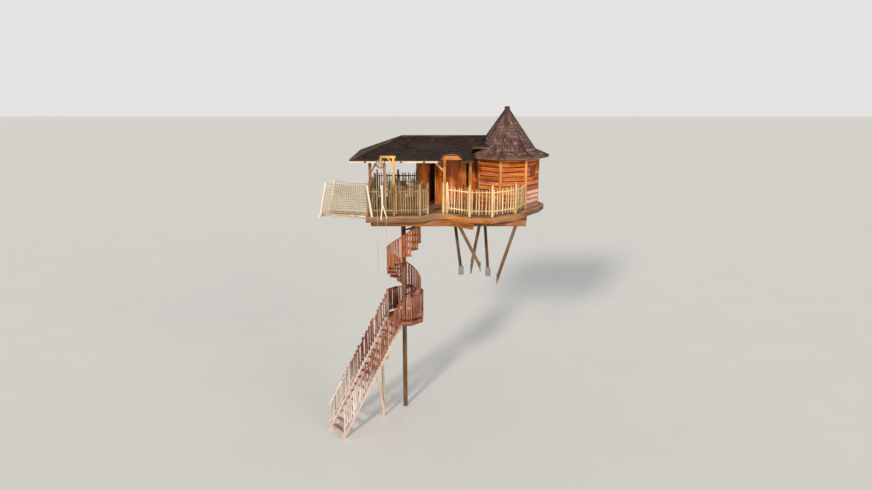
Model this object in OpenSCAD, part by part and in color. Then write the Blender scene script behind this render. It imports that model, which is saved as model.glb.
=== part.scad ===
/* [Heights] */
// Height of the deck surface above the ground
deck_height = 9000; // [7000:100:10000]
// How far the stair landing lies below the deck surface
landing_drop = 4750; // [4200:50:5200]

/* [Beams and deck] */
// Height of the main beams
beam_h = 240; // [180:10:300]
// Thickness of the main beams
beam_t = 80; // [60:5:120]
// Height of the floor joists
joist_h = 200; // [150:10:240]
// Thickness of the floor joists
joist_t = 50; // [38:1:80]
// Distance from joist to joist
joist_pitch = 480; // [400:10:600]
// Thickness of the deck boards
deck_t = 30; // [22:1:45]
// Height of the rim round the deck
rim_h = 190; // [140:10:200]
// Thickness of the rim round the deck
rim_t = 45; // [30:1:60]
// Radius of the holes that the trunks grow through
trunk_hole_r = 390; // [360:5:430]
// Thickness of the steel plates that bear on the trunks
plate_t = 20; // [12:1:30]
// Diameter of the slanting knee braces
brace_d = 130; // [90:5:160]

/* [Room] */
// Thickness of the walls
wall_t = 80; // [50:5:100]
// Left end of the room
room_left = -2950; // [-3000:10:-2900]
// Front of the room
room_front = 2240; // [2200:10:2300]
// Back of the room
room_back = 3940; // [3850:10:4000]
// Clear width of the doorway
door_w = 660; // [600:10:700]
// Clear height of the doorway
door_h = 1850; // [1750:10:1900]
// Thickness of the door leaf
leaf_t = 40; // [30:1:50]
// How far the door stands open
door_rest_angle = 50; // [0:5:60]
// Gap round the door leaf
door_gap = 7; // [6:1:10]
// Thickness of the boards that frame the doorway
frame_t = 30; // [20:1:40]
// Width of the narrow window beside the turret
slot_window_w = 190; // [150:10:240]
// Height of the narrow window
slot_window_h = 1200; // [800:50:1300]

/* [Turret] */
// Radius of the eight-sided turret at its corners
turret_r = 1380; // [1350:10:1400]
// Turn of the turret about its own centre
turret_turn = 30.6; // [30:0.1:31]
// Thickness of the corner posts
corner_post = 120; // [100:5:140]
// Width of the turret windows
turret_window_w = 600; // [350:10:640]
// Height of the turret windows
turret_window_h = 560; // [400:10:700]
// Width of the window frame bars
sash = 45; // [30:5:60]
// Thickness of the window panes
glass_t = 8; // [4:1:12]

/* [Roofs] */
// Height of the main eave above the deck
eave_h = 2050; // [2000:10:2100]
// Height of the main ridge above the deck
ridge_h = 2840; // [2700:10:2950]
// Thickness of the main roof, measured upright
roof_t = 70; // [50:5:100]
// Radius of the turret eave at its corners
turret_eave_r = 1760; // [1700:10:1800]
// Radius where the turret roof breaks to the steep part
turret_break_r = 1200; // [1100:10:1250]
// Height of the turret eave above the deck
turret_eave_h = 2100; // [2050:10:2150]
// Height of the break above the deck
turret_break_h = 2330; // [2300:10:2400]
// Height of the turret roof's point above the deck
turret_apex_h = 4000; // [3600:50:4200]
// Height of the fascia boards
fascia_h = 65; // [60:5:120]
// Thickness of the fascia boards
fascia_t = 25; // [18:1:35]
// Width of each wing of the hip and ridge caps
cap_w = 70; // [50:5:100]

/* [Porch] */
// Thickness of the porch posts
porch_post = 110; // [80:5:130]
// Height of the beam on the porch posts
plate_h = 140; // [100:10:180]

/* [Railings] */
// Height of the top rail above the deck
rail_top = 960; // [900:10:1100]
// Height of the bottom rail above the deck
rail_low = 240; // [150:10:400]
// Height of the pickets above the deck
picket_top = 1090; // [1000:10:1250]
// Height of the pickets' lower ends above the deck
picket_low = 100; // [60:10:280]
// Thickness of the round pickets
picket_d = 38; // [25:1:50]
// Distance from picket to picket
picket_pitch = 125; // [100:5:160]
// Thickness of the round rails
rail_d = 50; // [40:2:70]
// Height of the railing posts above the deck
rail_post_h = 1250; // [1150:10:1350]
// Thickness of the railing posts
rail_post_d = 90; // [70:5:110]

/* [Spiral stair] */
// Number of rises from the landing to the deck
spiral_rises = 20; // [18:1:22]
// Turn from one tread to the next
spiral_step = 30; // [28:0.5:31]
// Direction of the first tread's leading edge
spiral_start = -60; // [-70:1:-50]
// Outer radius of the treads
spiral_r = 740; // [680:10:760]
// Radius of the mast
mast_r = 95; // [60:5:100]
// Thickness of the spiral treads
spiral_tread_t = 40; // [30:1:50]
// Height of the spiral handrail above the treads
spiral_rail_h = 950; // [850:10:1050]
// Number of slats on each spiral tread
balusters_each = 3; // [2:1:3]
// Width of the spiral stair's slats
baluster_w = 90; // [60:5:95]
// Thickness of the spiral stair's slats
baluster_t = 20; // [14:1:26]
// Radius of the stair hole in the deck
well_r = 800; // [780:10:820]

/* [Landing and flight] */
// Radius of the landing at its corners
landing_r = 880; // [870:5:930]
// Thickness of the landing floor
landing_t = 40; // [30:1:50]
// Direction in which the straight flight climbs
flight_turn = 42; // [38:1:45]
// Level length of the straight flight
flight_run = 3200; // [2900:50:3600]
// Number of rises in the straight flight
flight_rises = 17; // [15:1:19]
// Thickness of the stringers
stringer_t = 45; // [35:1:60]
// Upright depth of the stringers
stringer_h = 300; // [260:10:340]
// Depth of the flight's treads
tread_going = 200; // [180:5:220]
// Thickness of the flight's treads
tread_t = 35; // [28:1:45]

/* [Rope bridge] */
// Length of the rope bridge to its end posts
bridge_l = 1980; // [1800:10:2200]
// Width between the bridge nets
bridge_w = 800; // [650:10:850]
// Direction in which the bridge leads
bridge_turn = 162; // [158:1:166]
// Thickness of the bridge cables
cable_d = 20; // [14:1:26]
// Mesh of the nets
mesh = 100; // [80:5:130]
// Thickness of the net's rope
net_rope = 10; // [8:1:14]

/* [Hoist] */
// Radius of the hoist wheel to the middle of its rope
wheel_r = 165; // [140:5:180]
// Thickness of the hoist rope
rope_d = 16; // [12:1:20]
// Height of the hoist arm above the deck
hoist_h = 2320; // [2250:10:2400]

/* [Hidden] */
$fn = 48;

// The origin lies on the trunk plate's face, at half the height of the main beam.
deck_z = beam_h / 2 + joist_h + deck_t;
floor_z = deck_z - deck_t;
joist_z = floor_z - joist_h;
ground_z = deck_z - deck_height;
landing_z = deck_z - landing_drop;
seat = 0.3;

right_trunk = [0, 340];
left_trunk = [-1370, 540];
left_trunk_at_roof = [-1530, 540];
mast_at = [-3500, 1450];
turret_at = [790, 2240];

// The deck's outline, from its front left corner round the front bay to the back.
deck_outline = [[-4840, -610], [-2740, -460], [-2140, 40], [-1710, 30], [-880, -650], [30, -750],
                [1010, -70], [2140, 1520], [2450, 2300], [2100, 3500], [1300, 4100], [-4840, 4100]];

function unit(v) = v / norm(v);
function left_of(v) = [-v.y, v.x];
function polar(r, a) = [r * cos(a), r * sin(a)];
function up(p, z) = [p.x, p.y, z];

// An outline moved inwards by d, for points that run anticlockwise.
function inset(points, d) = [
    for (i = [0:len(points) - 1])
        let (
            n = len(points),
            before = left_of(unit(points[i] - points[(i + n - 1) % n])),
            after = left_of(unit(points[(i + 1) % n] - points[i]))
        )
        points[i] + d * (before + after) / (1 + before * after)
];

// Draws the children, which stand on z = 0, along the line from a to b.
module along(a, b) {
    d = b - a;
    translate(a)
        rotate([0, acos(d.z / norm(d)), atan2(d.y, d.x)])
            children();
}

module round_bar(a, b, d, sides = 8) {
    along(a, b)
        rotate(180 / sides)
            cylinder(h = norm(b - a), d = d, $fn = sides);
}

module square_bar(a, b, w, h) {
    along(a, b)
        translate([-h / 2, -w / 2, 0])
            cube([h, w, norm(b - a)]);
}

// A row of upright pickets fused to two rails, between two points of a floor or a slope.
module picket_panel(a, b, low = rail_low, high = rail_top, foot = picket_low, tip = picket_top) {
    run = norm([b.x - a.x, b.y - a.y]);
    count = max(2, round(run / picket_pitch));
    union() {
        for (h = [low, high])
            round_bar(a + [0, 0, h], b + [0, 0, h], rail_d);
        for (i = [0:count - 1])
            translate(a + (b - a) * (i + 0.5) / count + [0, 0, foot])
                rotate(atan2(b.y - a.y, b.x - a.x) + 22.5)
                    cylinder(h = tip - foot, d = picket_d, $fn = 8);
    }
}

// A panel between two posts, from the face of the first to the face of the second.
module panel_between(p, q, z, first_post, second_post) {
    way = unit(q - p);
    picket_panel(up(p + way * (first_post / 2 + seat), z), up(q - way * (second_post / 2 + seat), z));
}

// Beams, joists and deck

front_beam_y = -plate_t - beam_t;
middle_beam_y = 900;
rear_beam_y = 3300;

module beam_at(x0, x1, y) {
    translate([x0, y, joist_z - beam_h])
        cube([x1 - x0, beam_t, beam_h]);
}

// The slanting bearer under the bay's left side runs out past the bay's corner.
bearer_way = unit(deck_outline[4] - deck_outline[3]);
bearer_in = 30;
function bearer_point(u, v) = deck_outline[3] + bearer_way * u + left_of(bearer_way) * (bearer_in + v);

module bay_bearer() {
    reach = norm(deck_outline[4] - deck_outline[3]) + 150;
    translate([0, 0, joist_z - beam_h])
        linear_extrude(beam_h)
            intersection() {
                polygon([bearer_point(0, 0), bearer_point(reach, 0), bearer_point(reach, beam_t),
                         bearer_point(0, beam_t)]);
                translate([-3000, -3000 + front_beam_y + beam_t / 2]) square([4000, 3000]);
            }
}

module main_beams() {
    color("#7b5b3c") {
        union() {
            beam_at(-4700, 1400, front_beam_y);
            bay_bearer();
        }
        beam_at(-2500, 1560, middle_beam_y);
        beam_at(-4700, 1960, rear_beam_y);
    }
}

well_ring = well_r + joist_t;
trunk_ring = trunk_hole_r + joist_t;

module square_ring(at, inner) {
    translate(at)
        difference() {
            square(2 * (inner + joist_t), center = true);
            square(2 * inner, center = true);
        }
}

module ring_blocks(grow) {
    translate(right_trunk) square(2 * (trunk_ring + grow), center = true);
    translate(left_trunk) square(2 * (trunk_ring + grow), center = true);
    translate(mast_at) square(2 * (well_ring + grow), center = true);
}

joist_first = -4560;
joist_count = 14;

module deck_joists() {
    color("#8a6746")
        translate([0, 0, joist_z])
            linear_extrude(joist_h)
                difference() {
                    intersection() {
                        polygon(inset(deck_outline, rim_t));
                        for (i = [0:joist_count])
                            translate([joist_first + i * joist_pitch, -1000])
                                square([joist_t, 6000]);
                    }
                    ring_blocks(0);
                }
}

// The tongue of floor on which the spiral stair arrives.
tongue_from = spiral_start + spiral_step * (spiral_rises - 1);
tongue_span = 45;

module sector(r, from, span) {
    intersection() {
        circle(r);
        polygon([[0, 0], polar(2 * r, from), polar(2 * r, from + span / 2), polar(2 * r, from + span)]);
    }
}

module trimmer_frames() {
    bearer_a = tongue_from + tongue_span / 2;
    color("#7f5d3d")
        translate([0, 0, joist_z])
            linear_extrude(joist_h) {
                square_ring(right_trunk, trunk_hole_r);
                square_ring(left_trunk, trunk_hole_r);
                difference() {
                    union() {
                        square_ring(mast_at, well_r);
                        translate(mast_at)
                            rotate(bearer_a)
                                translate([0, -joist_t / 2])
                                    square([well_r + joist_t / 2, joist_t]);
                    }
                    translate(mast_at) circle(mast_r);
                }
            }
}

module rim_boards() {
    color("#b08556")
        translate([0, 0, floor_z - rim_h])
            linear_extrude(rim_h)
                difference() {
                    polygon(deck_outline);
                    polygon(inset(deck_outline, rim_t));
                }
}

module deck_floor() {
    color("#a9845c")
        translate([0, 0, floor_z])
            linear_extrude(deck_t)
                difference() {
                    polygon(deck_outline);
                    translate(right_trunk) circle(trunk_hole_r);
                    translate(left_trunk) circle(trunk_hole_r);
                    translate(mast_at)
                        difference() {
                            circle(well_r);
                            sector(well_r + 1, tongue_from, tongue_span);
                        }
                    translate(mast_at) circle(mast_r);
                }
}

// What carries the deck on the trunks

trunk_r = 330;
plate_w = 300;
plate_high = 220;
shoe_w = 220;
shoe_high = 380;
shoe_t = 16;

// Each saddle is a flat plate that bears on a trunk, on a block or straight on its beam.
module trunk_saddles() {
    color("#5d6063") {
        translate([-plate_w / 2, -plate_t, -plate_high / 2])
            cube([plate_w, plate_t, plate_high]);
        translate([left_trunk.x - plate_w / 2, -plate_t, -plate_high / 2])
            cube([plate_w, left_trunk.y - trunk_r + plate_t, plate_high]);
        for (at = [right_trunk, left_trunk])
            translate([at.x - plate_w / 2, at.y + trunk_r, -plate_high / 2])
                cube([plate_w, middle_beam_y - at.y - trunk_r, plate_high]);
    }
}

brace_top_z = joist_z - beam_h;

// Foot, head and the way to the trunk of each knee brace. The heads meet the beams from below.
rear_foot_z = -2200;
trunk_reach = trunk_r + shoe_t;
front_head_y = front_beam_y + beam_t / 2;
rear_head_y = rear_beam_y + beam_t / 2;
braces = [
    [[-trunk_reach, right_trunk.y, -1890], up(bearer_point(600, beam_t / 2), brace_top_z), 0],
    [[trunk_reach, right_trunk.y, -2420], [990, front_head_y, brace_top_z], 180],
    [[-720, 540, -2050], [-330, middle_beam_y + beam_t / 2, brace_top_z], 180],
    [[0, right_trunk.y + trunk_reach, rear_foot_z], [0, rear_head_y, brace_top_z], -90],
    [[-1100, left_trunk.y + trunk_reach, rear_foot_z], [-1370, rear_head_y, brace_top_z], -90]
];

// A round pole from a shoe to a beam, cut flush with both.
module brace(foot, head, way) {
    difference() {
        round_bar(foot - (head - foot) * 0.08, head + (head - foot) * 0.05, brace_d, 12);
        translate([foot.x - 3000, foot.y - 3000, brace_top_z])
            cube([6000, 7000, 500]);
        translate(foot)
            rotate(way)
                translate([0, -500, -600])
                    cube([600, 1000, 1200]);
    }
}

module knee_braces() {
    color("#7a5a3a")
        for (b = braces)
            brace(b[0], b[1], b[2]);
}

module brace_shoes() {
    color("#5d6063")
        for (b = braces)
            translate(b[0])
                rotate(b[2])
                    translate([0, -shoe_w / 2, -shoe_high / 2])
                        cube([shoe_t, shoe_w, shoe_high]);
}

// Roof forms, which also cut the tops of the walls

eave_front = 440;
eave_back = 4390;
eave_left = -5540;
verge_back = 420;
ridge_y = (eave_front + eave_back) / 2;
eave_z = deck_z + eave_h;
ridge_z = deck_z + ridge_h;
ridge_left = eave_left + (eave_back - eave_front) / 2;

// A hipped block: its section across the ridge, cut by its section along the ridge.
module hip_block(drop, base) {
    low = eave_z - drop;
    high = ridge_z - drop;
    intersection() {
        translate([eave_left, 0, 0])
            rotate([90, 0, 90])
                linear_extrude(verge_back - eave_left)
                    polygon([[eave_front, base], [eave_back, base], [eave_back, low],
                             [ridge_y, high], [eave_front, low]]);
        translate([0, eave_back, 0])
            rotate([90, 0, 0])
                linear_extrude(eave_back - eave_front)
                    polygon([[eave_left, base], [verge_back, base], [verge_back, high],
                             [ridge_left, high], [eave_left, low]]);
    }
}

function flat_r(r) = r * cos(22.5);

turret_eave_z = deck_z + turret_eave_h;
turret_break_z = deck_z + turret_break_h;
turret_apex_z = deck_z + turret_apex_h;
turret_skin = 60;
turret_steep_drop = 120;
turret_peak_r = 15;

// The turret roof's section, repeated four times round the centre.
module eight_sided(section, reach) {
    translate(turret_at)
        rotate(turret_turn + 22.5)
            intersection_for (i = [0:3])
                rotate(i * 45)
                    rotate([90, 0, 0])
                        linear_extrude(reach, center = true)
                            polygon(section);
}

function mirrored(half) = concat(half, [for (i = [len(half) - 1:-1:0]) [-half[i].x, half[i].y]]);

// The turret roof's outer form down to a base, raised by a given amount.
module turret_block(base, raised = 0) {
    eight_sided(mirrored([[flat_r(turret_eave_r), base], [flat_r(turret_eave_r), turret_eave_z + raised],
                          [flat_r(turret_break_r), turret_break_z + raised],
                          [turret_peak_r, turret_apex_z + raised]]), 4400);
}

// The space below the turret roof's skin, down to the given height.
module below_turret_roof(base) {
    eight_sided(mirrored([[flat_r(turret_eave_r) + 10, base],
                          [flat_r(turret_eave_r) + 10, turret_eave_z - turret_skin - 4],
                          [flat_r(turret_break_r) - 10, turret_break_z - turret_skin],
                          [turret_peak_r, turret_apex_z - turret_steep_drop]]), 4400);
}

// Walls of the room

wall_low = deck_z;
wall_high = 4000;
door_left = room_left + wall_t + frame_t;
door_right = door_left + door_w;
opening_left = door_left - frame_t;
opening_right = door_right + frame_t;
opening_z = deck_z + door_h + frame_t;
post_t = 100;
slot_window_x = -910;
slot_window_z = deck_z + 700;
turret_window_z = deck_z + 1230;
room_end = 60;

module under_main_roof() {
    hip_block(roof_t, deck_z - 10);
}

module turret_prism(r) {
    translate(up(turret_at, 0))
        rotate(turret_turn - 90)
            cylinder(h = 6000, r = r, $fn = 8);
}

module slot_window_hole() {
    translate([slot_window_x, room_front - 10, slot_window_z])
        cube([slot_window_w, wall_t + 20, slot_window_h]);
}

back_window_x = -1700;
back_window_w = 700;
back_window_h = 560;

module back_window_hole() {
    translate([back_window_x, room_back - wall_t - 10, turret_window_z])
        cube([back_window_w, wall_t + 20, back_window_h]);
}

module room_wall(x0, x1, y0, y1, z0) {
    difference() {
        intersection() {
            translate([x0, y0, z0])
                cube([x1 - x0, y1 - y0, wall_high - z0]);
            under_main_roof();
        }
        turret_prism(turret_r);
        turret_posts_shape(0);
        turret_block(turret_eave_z - turret_skin);
    }
}

module front_wall() {
    color("#b5672c")
        difference() {
            room_wall(opening_right, 0, room_front, room_front + wall_t, wall_low);
            slot_window_hole();
        }
}

module door_header() {
    color("#b5672c")
        difference() {
            room_wall(room_left + post_t, opening_right, room_front, room_front + wall_t, opening_z);
            door_post_cut();
        }
}

module door_post_cut() {
    translate([room_left - 1, room_front - 1, 0])
        cube([wall_t + 1, wall_t + 2, 5000]);
}

module left_wall() {
    color("#a65d28")
        room_wall(room_left, room_left + wall_t, room_front + wall_t, room_back - wall_t, wall_low);
}

module back_wall() {
    color("#a65d28")
        difference() {
            room_wall(room_left + wall_t, room_end, room_back - wall_t, room_back, wall_low);
            back_window_hole();
        }
}

module end_wall() {
    color("#a65d28")
        room_wall(room_end, room_end + wall_t, 3300, room_back, wall_low);
}

module room_posts() {
    color("#c9863f")
        for (y = [room_front, room_back - wall_t])
            intersection() {
                translate([room_left, y, wall_low])
                    cube([wall_t, wall_t, wall_high - wall_low]);
                under_main_roof();
            }
}

// Walls of the turret. Face angles are counted from the front, towards the right.

turret_flat = flat_r(turret_r);
face_w = 2 * turret_r * sin(22.5);
plain_faces = [8.1, 98.1, 188.1, 278.1, 323.1];
window_faces = [53.1, 143.1];
passage_face = 233.1;

module on_face(a) {
    translate(turret_at)
        rotate(a)
            translate([0, -turret_flat, 0])
                children();
}

module turret_posts_shape(z0) {
    for (i = [0:7])
        translate(turret_at)
            rotate(turret_turn + 45 * i)
                translate([-corner_post / 2, -turret_r - 10, deck_z + z0])
                    cube([corner_post, corner_post, 2500]);
}

module turret_face(a, z0) {
    intersection() {
        difference() {
            on_face(a)
                translate([-face_w / 2, 0, z0])
                    cube([face_w, wall_t, wall_high - z0]);
            turret_posts_shape(0);
        }
        below_turret_roof(0);
    }
}

module turret_walls() {
    color("#b8682a")
        for (a = plain_faces)
            turret_face(a, wall_low);
}

module turret_window_hole() {
    translate([-turret_window_w / 2, -10, turret_window_z])
        cube([turret_window_w, wall_t + 20, turret_window_h]);
}

module turret_window_walls() {
    color("#b8682a")
        for (a = window_faces)
            difference() {
                turret_face(a, wall_low);
                on_face(a) turret_window_hole();
            }
}

passage_h = 1950;

module passage_header() {
    color("#b8682a")
        turret_face(passage_face, deck_z + passage_h);
}

module turret_posts() {
    color("#c9863f")
        intersection() {
            turret_posts_shape(0);
            below_turret_roof(0);
        }
}

// Windows

module window_ring(w, h) {
    difference() {
        translate([0, -12, 0]) cube([w, wall_t * 0.7 + 12, h]);
        translate([sash, -20, sash]) cube([w - 2 * sash, wall_t + 40, h - 2 * sash]);
    }
}

module pane(w, h) {
    translate([sash, wall_t * 0.35, sash])
        cube([w - 2 * sash, glass_t, h - 2 * sash]);
}

module at_each_window() {
    for (a = window_faces)
        on_face(a)
            translate([-turret_window_w / 2, 0, turret_window_z])
                children(0);
    translate([slot_window_x, room_front, slot_window_z])
        children(1);
    translate([back_window_x + back_window_w, room_back, turret_window_z])
        rotate(180)
            children(2);
}

module window_frames() {
    color("#8c5a31")
        at_each_window() {
            window_ring(turret_window_w, turret_window_h);
            window_ring(slot_window_w, slot_window_h);
            window_ring(back_window_w, back_window_h);
        }
}

module window_glass() {
    color("#35404a")
        at_each_window() {
            pane(turret_window_w, turret_window_h);
            pane(slot_window_w, slot_window_h);
            pane(back_window_w, back_window_h);
        }
}

// Door, drawn closed at its hinge and turned to where it stands

hinge_at = [door_left + 2, room_front + wall_t + 8];
leaf_face = 6;
leaf_from = 6;
leaf_low = deck_z + 12;
leaf_high = deck_z + door_h - door_gap;
leaf_w = door_w - 2 * door_gap + 2;
knuckle_r = 8;
pin_r = 4;
pin_play = 0.05;
knuckle_h = 60;
knuckle_zs = [deck_z + 250, deck_z + 1500];

module door_frame() {
    depth = wall_t;
    color("#c07a3a")
        difference() {
            translate([opening_left, room_front, deck_z])
                cube([opening_right - opening_left, depth, opening_z - deck_z]);
            translate([door_left, room_front - 1, deck_z - 1])
                cube([door_w, depth + 2, door_h + 1]);
        }
}

module hung() {
    translate(hinge_at)
        rotate(door_rest_angle)
            children();
}

module door_leaf() {
    color("#b4521f")
        hung()
            translate([leaf_from, -leaf_face - leaf_t, leaf_low])
                cube([leaf_w - leaf_from, leaf_t, leaf_high - leaf_low]);
}

module door_straps() {
    color("#3b3b3d")
        hung()
            for (z = knuckle_zs)
                difference() {
                    union() {
                        translate([0, 0, z]) cylinder(h = knuckle_h, r = knuckle_r);
                        translate([0, -leaf_face, z + 8]) cube([420, 4, knuckle_h - 16]);
                    }
                    translate([0, 0, z - 1]) cylinder(h = knuckle_h + 2, r = pin_r + pin_play);
                }
}

module hinge_pins() {
    color("#3b3b3d")
        for (z = knuckle_zs)
            union() {
                translate(up(hinge_at, z - 20 - seat)) cylinder(h = 20, r = knuckle_r);
                translate(up(hinge_at, z - 20 - seat)) cylinder(h = knuckle_h + 20, r = pin_r);
                translate([opening_left + 2, room_front + wall_t, z - 20 - seat])
                    cube([hinge_at.x - opening_left - 2, 4, 20]);
            }
}

// The knob inside the room is flatter, so that the open door can lie along the left wall.
knob_r = 22;
knob_t = 16;
outer_neck = 38;
inner_neck = 10;

module knob(neck) {
    cylinder(h = neck, r = 9);
    translate([0, 0, neck]) cylinder(h = knob_t, r = knob_r);
}

module door_handle() {
    color("#4a4a4c")
        hung()
            translate([leaf_w - 70, 0, deck_z + 950]) {
                translate([0, -leaf_face, 0]) rotate([-90, 0, 0]) knob(inner_neck);
                translate([0, -leaf_face - leaf_t, 0]) rotate([90, 0, 0]) knob(outer_neck);
            }
}

// Roofs

verge_front = -700;
valley_y = 1500;
trunk_notch_r = 420;

module main_roof() {
    color("#4f4340")
        difference() {
            hip_block(0, eave_z - roof_t);
            hip_block(roof_t, eave_z - roof_t - 200);
            turret_block(0);
            translate([verge_front, 0, 0]) cube([2000, valley_y, 6000]);
            translate(up(left_trunk_at_roof, 0)) cylinder(h = 6000, r = trunk_notch_r);
        }
}

cap_t = 24;

// Upright strips over the ridge and the two hips, which meet it at 45 degrees on the plan.
module cap_strips() {
    for (turn = [0, 135, -135])
        translate([ridge_left, ridge_y, eave_z - 50])
            rotate(turn)
                translate([-cap_w * tan(22.5), -cap_w, 0])
                    cube([4500, 2 * cap_w, 2000]);
}

module ridge_caps() {
    color("#3d3432")
        difference() {
            intersection() {
                hip_block(-cap_t, eave_z - 40);
                cap_strips();
            }
            hip_block(0, 0);
            turret_block(0);
        }
}

module fascia_boards() {
    z0 = eave_z - roof_t - fascia_h + 40;
    color("#d8cdb8")
        difference() {
            union() {
                translate([eave_left - fascia_t, eave_front - fascia_t, z0])
                    cube([verge_front - eave_left + fascia_t, fascia_t, fascia_h]);
                translate([eave_left - fascia_t, eave_back, z0])
                    cube([verge_back - eave_left + fascia_t, fascia_t, fascia_h]);
                translate([eave_left - fascia_t, eave_front, z0])
                    cube([fascia_t, eave_back - eave_front, fascia_h]);
            }
            translate(up(left_trunk_at_roof, 0)) cylinder(h = 6000, r = trunk_notch_r);
            turret_block(0);
        }
}

module turret_roof() {
    color("#6b5752")
        difference() {
            turret_block(turret_eave_z - turret_skin);
            below_turret_roof(turret_eave_z - 400);
        }
}

peak_cap_r = 90;

module turret_hip_caps() {
    color("#352d2b")
        difference() {
            union() {
                intersection() {
                    turret_block(turret_eave_z, cap_t * 1.5);
                    for (i = [0:7])
                        translate(up(turret_at, turret_eave_z - turret_skin))
                            rotate(turret_turn + 45 * i - 90)
                                translate([peak_cap_r - 30, -cap_w / 2, 0])
                                    cube([turret_eave_r, cap_w, 3000]);
                }
                translate(up(turret_at, turret_apex_z - 110))
                    cylinder(h = 160, r = peak_cap_r, $fn = 8);
            }
            turret_block(0);
            hip_block(-cap_t - seat, 0);
        }
}

// Porch

porch_y = 900;
porch_posts_x = [-4785, -4205, -1800, -760];
plate_top = eave_z - roof_t + (porch_y - eave_front) * (ridge_z - eave_z) / (ridge_y - eave_front);
back_posts_y = [2500, 3860];

module porch_posts() {
    color("#a77a48")
        for (x = porch_posts_x)
            translate([x - porch_post / 2, porch_y - porch_post / 2, deck_z])
                cube([porch_post, porch_post, plate_top - plate_h - deck_z]);
}

module porch_beam() {
    color("#a77a48")
        intersection() {
            union() {
                translate([-4900, porch_y - beam_t / 2, plate_top - plate_h])
                    cube([4200, beam_t, plate_h + 60]);
            }
            under_main_roof();
        }
}

// A brace from a post up to the beam, on the post's right (1) or left (-1).
module porch_brace(x, side, reach, drop) {
    under = plate_top - plate_h;
    from = x + side * porch_post / 2;
    intersection() {
        square_bar([from - side * 30, porch_y, under - drop], [from + side * (reach + 30), porch_y, under + 60],
                   60, 70);
        translate([side > 0 ? from : from - 2000, 0, 0])
            cube([2000, 2000, under]);
    }
}

module porch_braces() {
    color("#9a6f42") {
        porch_brace(porch_posts_x[0], 1, 280, 520);
        porch_brace(porch_posts_x[1], -1, 70, 180);
        porch_brace(porch_posts_x[2], -1, 450, 450);
    }
}

// Railings on the deck. The two posts that carry the bridge's nets stand in line with the nets.

deck_left = deck_outline[0].x;
bridge_at = [deck_left - seat, -450];
bridge_way = polar(1, bridge_turn);
skew = tan(180 - bridge_turn);
net_post_in = rail_post_d / 2 + 10;
net_post_near = bridge_at - bridge_way * net_post_in;
net_post_far = bridge_at + bridge_way * (bridge_w * skew - net_post_in) - left_of(bridge_way) * bridge_w;
bay_points = [[-1710, 90], [-855, -590], [10, -685], [965, -30]];
bay_end = turret_at + polar(turret_r + 10, turret_turn - 90);
gap_post = [-1850, 95];
porch_front_points = [net_post_near, [-3750, -470], [-2765, -395], [-2470, -150]];
left_x = porch_posts_x[0];
porch_left_points = [[left_x, 1640], [left_x, 2850], [left_x, 4040]];
porch_back_points = [[left_x, 4040], [-3850, 4040], [-3010, 4040]];

module rail_post(p) {
    translate(up(p, deck_z)) cylinder(h = rail_post_h, d = rail_post_d);
}

module deck_rail_posts() {
    color("#c3a67c")
        for (p = concat(bay_points, [gap_post, net_post_far], porch_front_points, porch_left_points,
                        [porch_back_points[1], porch_back_points[2]]))
            rail_post(p);
}

// The pole that leans at the deck's left corner, and the forked one that is spiked to the rim beside it.

lean_d = 76;
fork_d = 75;
fork_leg_d = 52;
fork_split_z = 850;
edge_way = unit(deck_outline[1] - deck_outline[0]);
function edge_spot(u, out) = deck_outline[0] + edge_way * u - left_of(edge_way) * out;

module leaning_poles() {
    fork_out = fork_leg_d / 2 - 4;
    split = up(edge_spot(648, fork_out), fork_split_z);
    color("#d8cdb0") {
        difference() {
            round_bar(up(edge_spot(255, -50), deck_z - 100), up(edge_spot(75, -50), deck_z + 1230), lean_d, 12);
            translate([deck_left - 500, -1500, deck_z - 500])
                cube([1500, 1500, 500]);
        }
        difference() {
            union() {
                round_bar(split - [0, 0, 20], up(edge_spot(648, fork_out), 1580), fork_d, 12);
                round_bar(split + [0, 0, 20], up(edge_spot(586, fork_out), 233), fork_leg_d, 12);
                round_bar(split + [0, 0, 20], up(edge_spot(812, fork_out), 300), fork_leg_d, 12);
            }
            translate([0, 0, floor_z - rim_h - 50])
                linear_extrude(rim_h + deck_t + 50 + seat)
                    polygon(inset(deck_outline, -seat));
        }
    }
}

module panels(points) {
    for (i = [0:len(points) - 2])
        panel_between(points[i], points[i + 1], deck_z, rail_post_d, rail_post_d);
}

module bay_railing() {
    color("#c9b083") {
        panels(bay_points);
        difference() {
            panel_between(bay_points[3], bay_end, deck_z, rail_post_d, 0);
            turret_posts_shape(0);
        }
    }
}

module porch_railing() {
    corner_post_at = [porch_posts_x[0], porch_y];
    color("#b59a6e") {
        panels(porch_front_points);
        panel_between(net_post_far, corner_post_at, deck_z, rail_post_d, porch_post);
        panel_between(corner_post_at, porch_left_points[0], deck_z, porch_post, rail_post_d);
        panels(porch_left_points);
        panels(porch_back_points);
    }
}

guard_r = well_r + 50;
guard_post_d = 60;
guard_sides = 7;
guard_span = (360 - tongue_span) / guard_sides;
function guard_point(i) = mast_at + polar(guard_r, tongue_from + tongue_span + i * guard_span);

module stairwell_guard() {
    color("#a98a5e") {
        for (i = [0:guard_sides])
            translate(up(guard_point(i), deck_z)) cylinder(h = picket_top, d = guard_post_d);
        for (i = [0:guard_sides - 1])
            panel_between(guard_point(i), guard_point(i + 1), deck_z, guard_post_d, guard_post_d);
    }
}

// Spiral stair: the mast, the treads round it, and the handrail that winds with them

spiral_rise = landing_drop / spiral_rises;
function tread_z(k) = landing_z + k * spiral_rise;
function rail_z(a) = landing_z + spiral_rise * ((a - spiral_start) / spiral_step + 0.5) + spiral_rail_h;
tread_lap = 1;
baluster_ring = spiral_r - 30;
handrail_d = 50;
rail_slope = spiral_rise / (2 * PI * baluster_ring * spiral_step / 360);
under_rail = handrail_d / 2 * sqrt(1 + rail_slope * rail_slope) + seat;

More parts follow.
